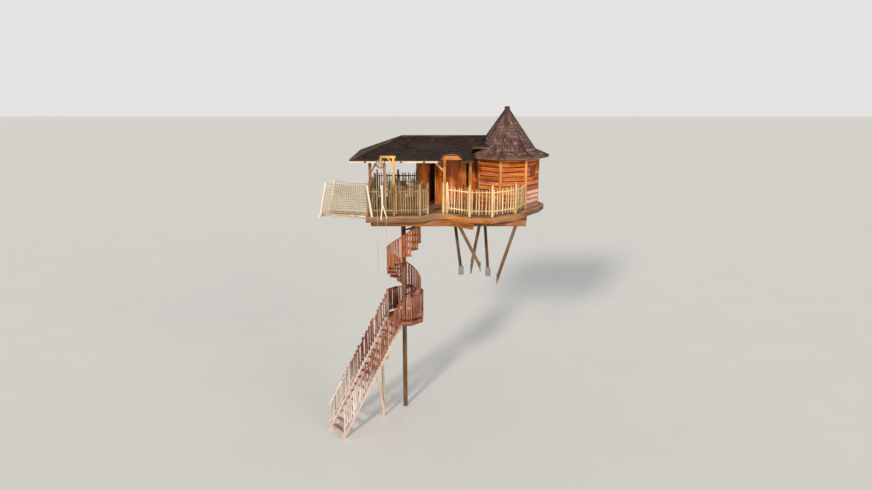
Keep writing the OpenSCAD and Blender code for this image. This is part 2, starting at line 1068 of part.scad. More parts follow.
module mast() {
    color("#8d6a45")
        translate(up(mast_at, ground_z))
            cylinder(h = deck_height + picket_top, r = mast_r);
}

module spiral_treads() {
    color("#a06a42")
        for (k = [1:spiral_rises - 1])
            translate(up(mast_at, tread_z(k) - spiral_tread_t))
                linear_extrude(spiral_tread_t)
                    difference() {
                        sector(spiral_r, spiral_start + spiral_step * (k - 1) - tread_lap,
                               spiral_step + tread_lap);
                        circle(mast_r);
                    }
}

// Flat slats that stand on the treads, each cut to the handrail's slope.
module spiral_balusters() {
    rise = rail_slope * baluster_w / 2;
    color("#a8703f")
        for (k = [1:spiral_rises - 1])
            for (j = [0:balusters_each - 1]) {
                a = spiral_start + spiral_step * (k - 1 + (j + 0.5) / balusters_each);
                top = rail_z(a) - under_rail;
                translate(mast_at)
                    rotate(a)
                        translate([baluster_ring - baluster_t / 2, 0, 0])
                            rotate([90, 0, 90])
                                linear_extrude(baluster_t)
                                    polygon([[-baluster_w / 2, tread_z(k)], [baluster_w / 2, tread_z(k)],
                                             [baluster_w / 2, top + rise], [-baluster_w / 2, top - rise]]);
            }
}

// A round bar swept along a list of points, as one closed skin.
module swept_bar(points, d, sides = 8) {
    count = len(points);
    rings = [
        for (i = [0:count - 1])
            let (
                ahead = unit(points[min(i + 1, count - 1)] - points[max(i - 1, 0)]),
                side = unit(abs(ahead.z) > 0.99 ? [1, 0, 0] : cross([0, 0, 1], ahead)),
                rise = cross(ahead, side)
            )
            [for (s = [0:sides - 1]) points[i] + d / 2 * (cos(s * 360 / sides) * side + sin(s * 360 / sides) * rise)]
    ];
    skin = [
        for (i = [0:count - 2])
            for (s = [0:sides - 1])
                let (a = i * sides + s, b = i * sides + (s + 1) % sides)
                    each [[a, b, b + sides], [a, b + sides, a + sides]]
    ];
    start = [for (s = [sides - 1:-1:0]) s];
    end = [for (s = [0:sides - 1]) (count - 1) * sides + s];
    polyhedron([for (r = rings) each r], concat(skin, [start, end]), convexity = 6);
}

handrail_turn = 10;

module spiral_handrail() {
    color("#9b6a40")
        swept_bar([
            for (a = [spiral_start + 5:handrail_turn:tongue_from - 5])
                up(mast_at + polar(baluster_ring, a), rail_z(a))
        ], handrail_d);
}

// Landing and straight flight

flight_way = [cos(flight_turn), sin(flight_turn)];
flight_side = left_of(flight_way);
flight_gap = 585;
near_side = -545;
far_side = 405;
function flight_point(u, v) = mast_at + (u - flight_gap) * flight_way + v * flight_side;

landing_outline = concat(
    [flight_point(0, near_side)],
    [for (i = [0:5]) mast_at + polar(landing_r, -67.5 + 45 * i)],
    [flight_point(0, far_side)]
);

module landing_floor() {
    color("#9c7350")
        translate([0, 0, landing_z - landing_t])
            linear_extrude(landing_t)
                difference() {
                    polygon(landing_outline);
                    translate(mast_at) circle(mast_r);
                }
}

landing_frame_h = 130;

module landing_frame() {
    color("#7d5a3c")
        translate([0, 0, landing_z - landing_t - landing_frame_h])
            linear_extrude(landing_frame_h)
                difference() {
                    union() {
                        difference() {
                            polygon(inset(landing_outline, 10));
                            polygon(inset(landing_outline, 10 + joist_t));
                        }
                        intersection() {
                            polygon(inset(landing_outline, 20));
                            translate(mast_at)
                                for (side = [-1, 1])
                                    rotate(flight_turn)
                                        translate([-1000, side * (mast_r + joist_t / 2) - joist_t / 2])
                                            square([2000, joist_t]);
                        }
                    }
                    translate(mast_at) circle(mast_r);
                }
}

landing_rail_points = inset(landing_outline, 35);

module landing_rail_posts() {
    color("#8f6848")
        for (p = landing_rail_points)
            translate(up(p, landing_z)) cylinder(h = picket_top, d = guard_post_d);
}

module landing_railing() {
    color("#9a6f50")
        for (i = [0:len(landing_rail_points) - 2])
            panel_between(landing_rail_points[i], landing_rail_points[i + 1], landing_z, guard_post_d,
                          guard_post_d);
}

flight_rise = deck_height - landing_drop;
flight_slope = flight_rise / flight_run;
stringer_up = 60;
one_rise = flight_rise / flight_rises;
one_going = flight_run / flight_rises;

// Draws the children in the flight's own frame: u along the climb, v across it.
module in_flight() {
    translate(mast_at - flight_gap * flight_way)
        rotate(flight_turn)
            children();
}

module stringer(v) {
    cut = stringer_h - stringer_up;
    in_flight()
        translate([0, v + stringer_t, 0])
            rotate([90, 0, 0])
                linear_extrude(stringer_t)
                    polygon([[-seat, landing_z], [-stringer_up / flight_slope, landing_z],
                             [-(flight_rise + stringer_up) / flight_slope, ground_z],
                             [-(flight_rise - cut) / flight_slope, ground_z],
                             [-seat, landing_z - cut]]);
}

module stringers() {
    color("#8e5f47") {
        stringer(near_side);
        stringer(far_side - stringer_t);
    }
}

module flight_treads() {
    color("#96664a")
        for (k = [1:flight_rises - 1])
            in_flight()
                translate([-flight_run + k * one_going - 20, near_side + stringer_t,
                           ground_z + k * one_rise - tread_t])
                    cube([tread_going, far_side - near_side - 2 * stringer_t, tread_t]);
}

flight_rail_top = 1050;
flight_rail_low = 300;

module flight_railing(v) {
    foot = flight_point(-flight_run + 120, v);
    head = flight_point(-60, v);
    picket_panel(up(foot, ground_z + 120 * flight_slope), up(head, landing_z - 60 * flight_slope),
                 flight_rail_low, flight_rail_top, -120, flight_rail_top + 90);
}

module flight_railings() {
    off = picket_d / 2 * cos(22.5) + seat;
    color("#9b6c52") {
        flight_railing(near_side - off);
        flight_railing(far_side + off);
    }
}

prop_u = -722;
prop_v = -120;
prop_d = 120;
tread_dip = 110;

module prop_post() {
    head_z = landing_z + prop_u * flight_slope - (stringer_h - stringer_up);
    bearer_h = 280;
    bearer_w = 120;
    foot = up(flight_point(prop_u, prop_v), ground_z);
    leg_u = -1350;
    leg_z = landing_z + leg_u * flight_slope - (stringer_h - stringer_up);
    color("#a08a6c")
        difference() {
            union() {
                translate(foot)
                    cylinder(h = head_z - ground_z, d = prop_d, $fn = 12);
                in_flight()
                    translate([prop_u - bearer_w / 2, near_side, head_z - bearer_h])
                        cube([bearer_w, far_side - near_side, bearer_h + 120]);
                round_bar(foot + [0, 0, 350], up(flight_point(leg_u, near_side + 20), leg_z), 90, 12);
            }
            stringer_band(0, seat);
            stringer_band(stringer_t, tread_dip);
            translate([-9000, -4000, ground_z - 2000]) cube([9000, 9000, 2000]);
        }
}

// All that lies above the stringers' undersides, or above the treads' lower corners between them.
module stringer_band(in_from_side, dip) {
    cut = stringer_h - stringer_up + dip;
    wide = in_from_side > 0 ? 0 : 200;
    in_flight()
        translate([0, far_side - in_from_side + wide, 0])
            rotate([90, 0, 0])
                linear_extrude(far_side - near_side - 2 * in_from_side + 2 * wide)
                    polygon([[0, landing_z - cut], [0, landing_z + 2000], [-flight_run - 500, landing_z + 2000],
                             [-flight_run - 500, ground_z - 200 - cut],
                             [-(flight_rise + 200) / flight_slope, ground_z - 200 - cut]]);
}

// Rope bridge, in its own frame: u along the bridge from the deck, v across it

bridge_post_d = 100;
bridge_post_h = 1250;
bridge_post_low = 150;
bridge_lean = 320;
// Where an end post stands along the bridge at height h above the deck, on its side towards the deck.
function post_face(h) =
    bridge_l - bridge_lean * (h + bridge_post_low) / (bridge_post_h + bridge_post_low)
    - (bridge_post_d / 2 * cos(15) + seat) / cos(atan(bridge_lean / (bridge_post_h + bridge_post_low)));
function net_from(v) = v * skew - net_post_in + rail_post_d / 2 + seat;
plank_w = 125;
plank_gap = 15;
plank_t = 35;
plank_first = 290;
bridge_end_l = 150;
net_low = 60;
net_high = 1060;
cable_z = deck_z - plank_t - cable_d / 2;

module on_bridge() {
    translate(up(bridge_at, 0))
        rotate(bridge_turn)
            mirror([0, 1, 0])
                children();
}

module bridge_posts() {
    color("#d9d2c0")
        on_bridge() {
            for (v = [0, bridge_w])
                round_bar([bridge_l, v, deck_z - bridge_post_low],
                          [bridge_l - bridge_lean, v, deck_z + bridge_post_h], bridge_post_d, 12);
            translate([bridge_l - 60, -120, deck_z - bridge_post_low])
                cube([120, bridge_w + 240, 110]);
        }
}

module bridge_planks() {
    count = floor((bridge_l - 110 - plank_first) / (plank_w + plank_gap));
    color("#b9a583")
        on_bridge() {
            for (i = [0:count - 1])
                translate([plank_first + i * (plank_w + plank_gap), 55, deck_z - plank_t])
                    cube([plank_w, bridge_w - 110, plank_t]);
            translate([0, 0, deck_z - plank_t])
                linear_extrude(plank_t)
                    polygon([[60 * skew, 60], [plank_first - plank_gap, 60],
                             [plank_first - plank_gap, bridge_w - 60], [(bridge_w - 60) * skew, bridge_w - 60]]);
        }
}

module bridge_cables() {
    color("#cfc6b2")
        on_bridge() {
            for (v = [90, bridge_w - 90])
                round_bar([(v + cable_d / 2) * skew, v, cable_z], [bridge_l - 60, v, cable_z], cable_d);
            for (v = [0, bridge_w])
                round_bar([net_from(v), v, deck_z + 1150], [post_face(1200) - 3, v, deck_z + 1200], cable_d);
        }
}

// A net is a flat lattice of fused strands, from a deck post to a leaning end post.
module bridge_net(from) {
    low_end = post_face(net_low);
    high_end = post_face(net_high);
    across = ceil((low_end - from) / mesh);
    rows = round((net_high - net_low) / mesh);
    row_gap = (net_high - net_low - net_rope) / rows;
    edge = net_rope * 1.1;
    translate([0, net_rope / 2, deck_z])
        rotate([90, 0, 0])
            linear_extrude(net_rope) {
                intersection() {
                    union() {
                        for (i = [0:across])
                            translate([from + i * mesh, 0]) square([net_rope, net_high]);
                        for (j = [0:rows])
                            translate([from, net_low + j * row_gap]) square([across * mesh, net_rope]);
                    }
                    polygon([[from, net_low], [low_end, net_low], [high_end, net_high], [from, net_high]]);
                }
                polygon([[low_end - edge, net_low], [low_end, net_low], [high_end, net_high],
                         [high_end - edge, net_high]]);
            }
}

module bridge_net_near() {
    color("#d8cfb8")
        on_bridge() bridge_net(net_from(0));
}

module bridge_net_far() {
    color("#d8cfb8")
        on_bridge() translate([0, bridge_w, 0]) bridge_net(net_from(bridge_w));
}

// Hoist

hoist_at = [-3760, -350];
hoist_post = 90;
arm_left = -4260;
wheel_at = [-4215, -700];
wheel_z = deck_z + hoist_h - 260;
wheel_t = 50;

module hoist_frame() {
    top = deck_z + hoist_h;
    color("#d09a4d")
        union() {
            translate([hoist_at.x - hoist_post / 2, hoist_at.y - hoist_post / 2, deck_z])
                cube([hoist_post, hoist_post, top - deck_z]);
            translate([arm_left, hoist_at.y - hoist_post / 2, top - hoist_post])
                cube([hoist_at.x + 90 - arm_left, hoist_post, hoist_post]);
            for (side = [-1, 1])
                square_bar([hoist_at.x, hoist_at.y, top - 330], [hoist_at.x - 240, hoist_at.y, top - 60], 50, 50);
            translate([wheel_at.x - 30, wheel_at.y - 60, top - 80])
                cube([60, hoist_at.y - wheel_at.y + 60, 60]);
            for (side = [-1, 1])
                translate([wheel_at.x - 25, wheel_at.y + side * 38 - 5, wheel_z - 30])
                    cube([50, 10, top - 30 - wheel_z]);
        }
}

wheel_spokes = 5;

module hoist_wheel() {
    color("#6a5238")
        translate(up(wheel_at, wheel_z))
            rotate([90, 0, 0])
                difference() {
                    rotate_extrude()
                        polygon([[0, -33], [14, -33], [14, -wheel_t / 2], [wheel_r + 12, -wheel_t / 2],
                                 [wheel_r + 12, -14], [wheel_r - 8, -9], [wheel_r - 8, 9], [wheel_r + 12, 14],
                                 [wheel_r + 12, wheel_t / 2], [14, wheel_t / 2], [14, 33], [0, 33]]);
                    for (i = [0:wheel_spokes - 1])
                        translate([0, 0, -wheel_t])
                            linear_extrude(2 * wheel_t)
                                difference() {
                                    sector(wheel_r - 25, i * 360 / wheel_spokes + 9, 360 / wheel_spokes - 18);
                                    circle(38);
                                }
                }
}

rope_near_x = wheel_at.x + wheel_r;
rope_far_x = wheel_at.x - wheel_r;
rope_low_z = ground_z + 350;

module hanging_rope(x, low) {
    swept_bar([for (i = [0:36]) [x, wheel_at.y, wheel_z - 3 - i * (wheel_z - 3 - low) / 36]], rope_d);
}

module hoist_rope_near() {
    color("#cfc3a4") hanging_rope(rope_near_x, rope_low_z);
}

module hoist_rope_far() {
    color("#cfc3a4") hanging_rope(rope_far_x, rope_low_z + 600);
}

main_beams();
deck_joists();
trimmer_frames();
rim_boards();
deck_floor();
trunk_saddles();
knee_braces();
brace_shoes();
front_wall();
door_header();
left_wall();
back_wall();
end_wall();
turret_walls();
turret_window_walls();
passage_header();
turret_posts();
room_posts();
door_frame();
hinge_pins();
door_leaf();
door_straps();
door_handle();
window_frames();
window_glass();
main_roof();
ridge_caps();
fascia_boards();
turret_roof();
turret_hip_caps();
porch_posts();
porch_beam();
porch_braces();
deck_rail_posts();
leaning_poles();
bay_railing();
porch_railing();
stairwell_guard();
mast();
spiral_treads();
spiral_balusters();
spiral_handrail();
landing_floor();
landing_frame();
landing_rail_posts();
landing_railing();
stringers();
flight_treads();
flight_railings();
prop_post();
bridge_posts();
bridge_planks();
bridge_cables();
bridge_net_near();
bridge_net_far();
hoist_frame();
hoist_wheel();
hoist_rope_near();
hoist_rope_far();
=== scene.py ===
"""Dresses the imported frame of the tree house: boards, shingles, stakes, nets, ropes, camera and light."""

import logging
import math
import random
from dataclasses import dataclass, field
from enum import Enum
from typing import Callable, Iterable, Mapping, Sequence

import bmesh
import bpy
import numpy as np
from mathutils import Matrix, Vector, noise


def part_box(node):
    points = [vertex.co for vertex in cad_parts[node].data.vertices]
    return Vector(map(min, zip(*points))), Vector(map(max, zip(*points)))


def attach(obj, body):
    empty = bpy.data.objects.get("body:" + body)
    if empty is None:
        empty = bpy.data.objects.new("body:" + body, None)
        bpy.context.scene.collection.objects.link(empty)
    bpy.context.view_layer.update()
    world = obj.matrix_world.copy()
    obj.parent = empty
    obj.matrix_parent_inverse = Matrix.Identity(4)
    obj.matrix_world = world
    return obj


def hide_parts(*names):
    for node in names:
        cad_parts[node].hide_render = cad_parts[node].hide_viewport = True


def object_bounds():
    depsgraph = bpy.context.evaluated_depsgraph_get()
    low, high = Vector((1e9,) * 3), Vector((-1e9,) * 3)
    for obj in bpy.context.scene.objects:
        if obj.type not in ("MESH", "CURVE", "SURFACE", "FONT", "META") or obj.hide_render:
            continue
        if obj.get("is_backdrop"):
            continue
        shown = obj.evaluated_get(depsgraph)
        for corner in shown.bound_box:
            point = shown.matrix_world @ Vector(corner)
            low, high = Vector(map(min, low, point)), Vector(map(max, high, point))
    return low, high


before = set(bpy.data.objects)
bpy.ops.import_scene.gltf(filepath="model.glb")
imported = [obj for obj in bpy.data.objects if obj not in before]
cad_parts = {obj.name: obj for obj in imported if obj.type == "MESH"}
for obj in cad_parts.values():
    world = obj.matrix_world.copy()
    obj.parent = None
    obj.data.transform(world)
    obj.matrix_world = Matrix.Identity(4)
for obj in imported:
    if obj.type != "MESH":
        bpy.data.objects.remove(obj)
log = logging.getLogger("tree_house")

Colour = tuple[float, float, float]
Points = list[Vector]
Mesh = bmesh.types.BMesh
Faces = list[bmesh.types.BMFace]
Piece = bpy.types.Object
Socket = bpy.types.NodeSocket

HOUSE, DOOR = "house", "door"
GRAIN, TINT = "grain", "tint"
UP, FRONT = Vector((0.0, 0.0, 1.0)), Vector((0.0, -1.0, 0.0))
MERGE = 2e-5      # points closer than this, in metres, become one
NEAR = 1e-5       # a cut this close to an edge is left out
SCRAP = 2e-4      # boards smaller than this, in square metres, are left out
WAVE_STEP = 0.22  # length of one facet of a wavy board's edge
TURN = 2 * math.pi
SHARP = math.radians(38)  # an edge is eased where its faces meet at more than this


def srgb(code: str) -> Colour:
    """The linear light of a screen colour, written as #c8a078."""
    shares = [int(code[i:i + 2], 16) / 255 for i in (1, 3, 5)]
    return tuple(s / 12.92 if s <= 0.04045 else ((s + 0.055) / 1.055) ** 2.4 for s in shares)


class Slot(Enum):
    """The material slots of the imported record."""

    DARK_TIMBER = "dark_timber"
    RIM_TIMBER = "rim_timber"
    DECK_BOARDS = "deck_boards"
    STEEL = "steel"
    ROUND_POLES = "round_poles"
    WALL_BOARDS = "wall_boards"
    CORNER_TIMBER = "corner_timber"
    BLACK_IRON = "black_iron"
    DOOR_BOARDS = "door_boards"
    WINDOW_TIMBER = "window_timber"
    WINDOW_GLASS = "window_glass"
    ROOF_SHINGLES = "roof_shingles"
    TURRET_SHINGLES = "turret_shingles"
    ROOF_CAPS = "roof_caps"
    FASCIA_PAINT = "fascia_paint"
    RAIL_STAKES = "rail_stakes"
    STAIR_TIMBER = "stair_timber"
    STAIR_STAKES = "stair_stakes"
    BLEACHED_POLES = "bleached_poles"
    BRIDGE_BOARDS = "bridge_boards"
    BRIDGE_ROPE = "bridge_rope"
    HOIST_TIMBER = "hoist_timber"
    HOIST_WHEEL = "hoist_wheel"
    HOIST_ROPE = "hoist_rope"


class Axis(Enum):
    """An axis of the house, or the own map of a piece."""

    OWN_MAP = -1
    X = 0
    Z = 2


# Node graphs


class Graph:
    """Places and joins nodes in a node tree."""

    def __init__(self, tree: bpy.types.NodeTree) -> None:
        """Starts on a node tree."""
        self.tree = tree

    def feed(self, node: bpy.types.Node, inputs: Mapping[object, object]) -> None:
        """Joins a node's inputs to other sockets, or sets their values.

        Args:
            node: the node.
            inputs: sockets or plain values by the input's name or number.
        """
        for key, value in inputs.items():
            if isinstance(value, Socket):
                self.tree.links.new(value, node.inputs[key])
            else:
                node.inputs[key].default_value = value

    def node(self, kind: str, inputs: Mapping[object, object] | None = None,
             **settings: object) -> bpy.types.Node:
        """Adds a node.

        Args:
            kind: Blender's name of the node type.
            inputs: sockets or plain values by the input's name or number.
            settings: the node's own settings.

        Returns:
            The new node.
        """
        made = self.tree.nodes.new(kind)
        for name, value in settings.items():
            setattr(made, name, value)
        self.feed(made, inputs or {})
        return made

    def out(self, kind: str, inputs: Mapping[object, object] | None = None, pick: int | str = 0,
            **settings: object) -> Socket:
        """Adds a node and gives one of its outputs, the first where none is picked."""
        return self.node(kind, inputs, **settings).outputs[pick]

    def math(self, operation: str, first: object, second: object = 0.0, clamp: bool = False) -> Socket:
        """A Math node's result, kept from 0 to 1 with clamp."""
        return self.out("ShaderNodeMath", {0: first, 1: second}, operation=operation, use_clamp=clamp)

    def vector(self, operation: str, first: object, second: object) -> Socket:
        """A Vector Math node's result."""
        pick = "Value" if operation == "DOT_PRODUCT" else "Vector"
        return self.out("ShaderNodeVectorMath", {0: first, 1: second}, pick, operation=operation)

    def combine(self, x: object, y: object, z: object) -> Socket:
        """A vector of three values or sockets."""
        return self.out("ShaderNodeCombineXYZ", {0: x, 1: y, 2: z})

    def part(self, vector: Socket, axis: Axis) -> Socket:
        """A vector's part along an axis."""
        return self.out("ShaderNodeSeparateXYZ", {0: vector}, axis.value)

    def noise(self, place: Socket, scale: float, detail: float, roughness: float = 0.6) -> Socket:
        """Cloudy noise from 0 to 1 with finer layers as strong as its roughness."""
        return self.out("ShaderNodeTexNoise", {"Vector": place, "Scale": scale, "Detail": detail,
                                               "Roughness": roughness})


class MaterialGraph(Graph):
    """The nodes of one material round a Principled shader."""

    def __init__(self, name: str) -> None:
        """Starts a material.

        Args:
            name: the material's name.
        """
        self.material = bpy.data.materials.new(name)
        self.material.use_nodes = True
        super().__init__(self.material.node_tree)
        self.tree.nodes.clear()
        self.shader = self.node("ShaderNodeBsdfPrincipled")
        self.node("ShaderNodeOutputMaterial", {"Surface": self.shader.outputs[0]})
        self.place = self.out("ShaderNodeTexCoord", pick="Object")

    def mix(self, share: object, first: Socket | Colour, second: Socket | Colour, blend: str = "MIX") -> Socket:
        """Mixes two colours.

        Args:
            share: how much of the second colour.
            first: first colour or socket.
            second: second colour or socket.
            blend: the way of mixing.

        Returns:
            The colour's socket.
        """
        first, second = [c if isinstance(c, Socket) else (*c, 1.0) for c in (first, second)]
        return self.out("ShaderNodeMix", {0: share, 6: first, 7: second}, 2, data_type="RGBA", blend_type=blend)

    def ramp(self, value: Socket, stops: Sequence[tuple[float, Colour]]) -> Socket:
        """Colours a value.

        Args:
            value: the value's socket.
            stops: places from 0 to 1 with their colours, the two outer ones first.

        Returns:
            The colour's socket.
        """
        made = self.node("ShaderNodeValToRGB", {0: value})
        elements = made.color_ramp.elements
        for number, (place, colour) in enumerate(stops):
            element = elements[number] if number < 2 else elements.new(place)
            element.position = place
            element.color = (*colour, 1.0)
        return made.outputs[0]

    def spread(self, value: Socket, low: float, high: float, to_low: float, to_high: float) -> Socket:
        """Maps a value from the range of low to high to another range, kept within it."""
        return self.out("ShaderNodeMapRange", {"Value": value, "From Min": low, "From Max": high,
                                               "To Min": to_low, "To Max": to_high})

    def toned(self, colour: Socket | tuple[float, ...], value: Socket, saturation: object = 1.0) -> Socket:
        """A colour made lighter or darker, and more or less full."""
        return self.out("ShaderNodeHueSaturation", {"Color": colour, "Value": value, "Saturation": saturation})

    def own_map(self) -> tuple[Socket, Socket]:
        """The two coordinates of the piece's own map, in metres along and across the grain."""
        uv = self.out("ShaderNodeUVMap", uv_map=GRAIN)
        return self.part(uv, Axis.X), self.out("ShaderNodeSeparateXYZ", {0: uv}, "Y")

    def done(self, inputs: Mapping[str, object], height: Socket | None = None, strength: float = 0.0,
             depth: float = 0.0) -> bpy.types.Material:
        """Feeds the shader and ends the material.

        Args:
            inputs: sockets or plain values by the shader's input.
            height: the relief's height, or None for a smooth surface.
            strength: share of the relief.
            depth: the relief's depth, in metres.

        Returns:
            The material.
        """
        self.feed(self.shader, inputs)
        if height:
            relief = {"Height": height, "Strength": strength, "Distance": depth}
            self.feed(self.shader, {"Normal": self.out("ShaderNodeBump", relief)})
        return self.material


# Finishes


@dataclass(frozen=True)
class Zone:
    """A stretch of the house along one axis, up to a height, where a timber takes on another colour, often
    painted shade or painted sunlight.
    """

    axis: Axis
    start: float
    full: float
    colour: str
    share: float
    below: float = math.inf
    fade: float = 0.12

    def blend(self, g: MaterialGraph, colour: Socket, wood: Socket) -> Socket:
        """Mixes the zone's colour in.

        Args:
            g: the material's graph.
            colour: the colour so far.
            wood: the streaks of the wood, which stay visible.

        Returns:
            The mixed colour.
        """
        inside = g.spread(g.part(g.place, self.axis), self.start, self.full, 0.0, self.share)
        if self.below < math.inf:
            height = g.part(g.place, Axis.Z)
            low = g.spread(height, self.below - self.fade, self.below + self.fade, 1.0, 0.0)
            inside = g.math("MULTIPLY", inside, low)
        return g.mix(inside, colour, g.toned((*srgb(self.colour), 1.0), g.spread(wood, 0.36, 0.64, 0.45, 1.25)))


@dataclass(frozen=True)
class Timber:
    """Timber with streaks along its grain, a tone of its own for each piece, and weathering.

    The shades are three colours from dark to light. Board is the distance of the seams on a timber without
    an own map, or 0 for none, and streak and figure are how fine the two patterns are along and across.
    """

    shades: str
    grey: str = "#968a78"
    weather: float = 0.35
    relief: float = 0.003
    tones: float = 0.5
    axis: Axis = Axis.OWN_MAP
    board: float = 0.0
    zones: tuple[Zone, ...] = ()
    roughness: float = 0.72
    tone_pitch: float = 0.15
    streak: Colour = (1.6, 42.0, 1.0)
    figure: Colour = (0.9, 7.0, 1.0)
    seam: float = 0.035

    def lines(self, g: MaterialGraph) -> tuple[Socket, Socket, Socket]:
        """Where a spot lies along and across the grain, and the tone of its board.

        Args:
            g: the material's graph.

        Returns:
            The three sockets.
        """
        if self.axis is Axis.OWN_MAP:
            tone = g.out("ShaderNodeAttribute", pick="Fac", attribute_name=TINT, attribute_type="GEOMETRY")
            return (*g.own_map(), tone)
        parts = list(g.node("ShaderNodeSeparateXYZ", {0: g.place}).outputs)
        along = parts.pop(self.axis.value)
        across, other = parts
        board = g.math("FLOOR", g.math("DIVIDE", other, self.tone_pitch))
        return along, g.math("ADD", across, other), g.math("FRACT", g.math("MULTIPLY", board, 0.618))

    def build(self, name: str) -> bpy.types.Material:
        """Builds the material.

        Args:
            name: its name.

        Returns:
            The material.
        """
        g = MaterialGraph(name)
        dark, middle, light = map(srgb, self.shades.split())
        along, across, tint = self.lines(g)
        line = g.combine(along, across, g.math("MULTIPLY", tint, 23.0))
        streaks = g.noise(g.vector("MULTIPLY", line, self.streak), 1.0, detail=5.0, roughness=0.62)
        figure = g.noise(g.vector("MULTIPLY", line, self.figure), 1.0, detail=3.0)
        wood = g.math("ADD", g.math("MULTIPLY", streaks, 0.5), g.math("MULTIPLY", figure, 0.5))
        colour = g.ramp(wood, [(0.34, dark), (0.66, light), (0.5, middle)])
        for zone in self.zones:
            colour = zone.blend(g, colour, wood)
        tone = g.spread(tint, 0.0, 1.0, 1.0 - self.tones * 0.5, 1.0 + self.tones * 0.5)
        colour = g.toned(colour, tone, g.spread(tint, 0, 1, 1.06, 0.9))
        patches = g.math("ADD", g.noise(g.place, 1.1, detail=4.0), g.math("MULTIPLY", streaks, 0.35))
        colour = g.mix(g.spread(patches, 0.62, 0.86, 0.0, self.weather), colour, srgb(self.grey))
        height = streaks
        if self.board:
            seam = g.math("LESS_THAN", g.math("FRACT", g.math("DIVIDE", across, self.board)), self.seam)
            colour = g.mix(seam, colour, tuple(c * 0.25 for c in dark))
            height = g.math("SUBTRACT", streaks, g.math("MULTIPLY", seam, 2.0))
        rough = g.spread(wood, 0.3, 0.7, self.roughness - 0.1, self.roughness + 0.12)
        return g.done({"Base Color": colour, "Roughness": rough, "Specular IOR Level": 0.2}, height, 0.6,
                      self.relief)


@dataclass(frozen=True)
class Metal:
    """Dull metal with spangle and a little rust."""

    colour: str
    rust: str
    metallic: float
    roughness: float = 0.5

    def build(self, name: str) -> bpy.types.Material:
        """Builds the material.

        Args:
            name: its name.

        Returns:
            The material.
        """
        g = MaterialGraph(name)
        spangle = g.out("ShaderNodeTexVoronoi", {"Vector": g.place, "Scale": 60.0}, "Color")
        rusty = g.spread(g.noise(g.place, 7.0, detail=6.0, roughness=0.7), 0.56, 0.7, 0.0, 0.75)
        base = g.mix(0.12, srgb(self.colour), spangle, "OVERLAY")
        return g.done({"Base Color": g.mix(rusty, base, srgb(self.rust)), "Metallic": self.metallic,
                       "Roughness": g.spread(rusty, 0, 1, self.roughness, 0.9)},
                      g.noise(g.place, 90.0, detail=3.0), 0.25, 0.001)


@dataclass(frozen=True)
class Glass:
    """Old window glass, slightly wavy and dusty, with what is seen in it painted into its colour: reddish, and
    painted shade where the room behind it has no light.
    """

    colour: str
    shaded: str
    dusty: str
    shaded_to: float

    def build(self, name: str) -> bpy.types.Material:
        """Builds the material.

        Args:
            name: its name.

        Returns:
            The material.
        """
        g = MaterialGraph(name)
        dust = g.noise(g.place, 3.5, detail=4.0)
        dark = g.spread(g.part(g.place, Axis.X), self.shaded_to - 0.1, self.shaded_to, 1.0, 0.0)
        behind = g.mix(dark, srgb(self.colour), srgb(self.shaded))
        return g.done({"Base Color": g.mix(g.spread(dust, 0.45, 0.75, 0.0, 0.3), behind, srgb(self.dusty)),
                       "Roughness": g.spread(dust, 0.4, 0.7, 0.12, 0.35), "Transmission Weight": 0.15,
                       "Specular IOR Level": 0.18, "IOR": 1.45}, g.noise(g.place, 6.0, detail=1.0), 0.08, 0.004)


@dataclass(frozen=True)
class Rope:
    """Laid natural rope: strands that wind round it, with loose fibres."""

    dark: str
    light: str
    lay: float = 0.05
    strands: float = 3.0

    def build(self, name: str) -> bpy.types.Material:
        """Builds the material.

        Args:
            name: its name.

        Returns:
            The material.
        """
        g = MaterialGraph(name)
        dark = srgb(self.dark)
        along, around = g.own_map()
        turns = g.math("ADD", g.math("DIVIDE", along, self.lay), g.math("MULTIPLY", around, self.strands))
        strand = g.math("ABSOLUTE", g.math("SINE", g.math("MULTIPLY", turns, math.pi)))
        fibres = g.combine(g.math("MULTIPLY", along, 160.0), g.math("MULTIPLY", around, 9.0), 0.0)
        fibre = g.noise(fibres, 1.0, detail=3.0)
        shade = g.math("ADD", g.math("MULTIPLY", strand, 0.6), g.math("MULTIPLY", fibre, 0.5), clamp=True)
        soiled = g.spread(g.noise(g.place, 2.2, detail=3.0), 0.45, 0.7, 0.0, 0.45)
        colour = g.mix(soiled, g.mix(shade, dark, srgb(self.light)), tuple(c * 0.8 for c in dark))
        return g.done({"Base Color": colour, "Roughness": 0.92, "Sheen Weight": 0.15}, shade, 0.9, 0.003)


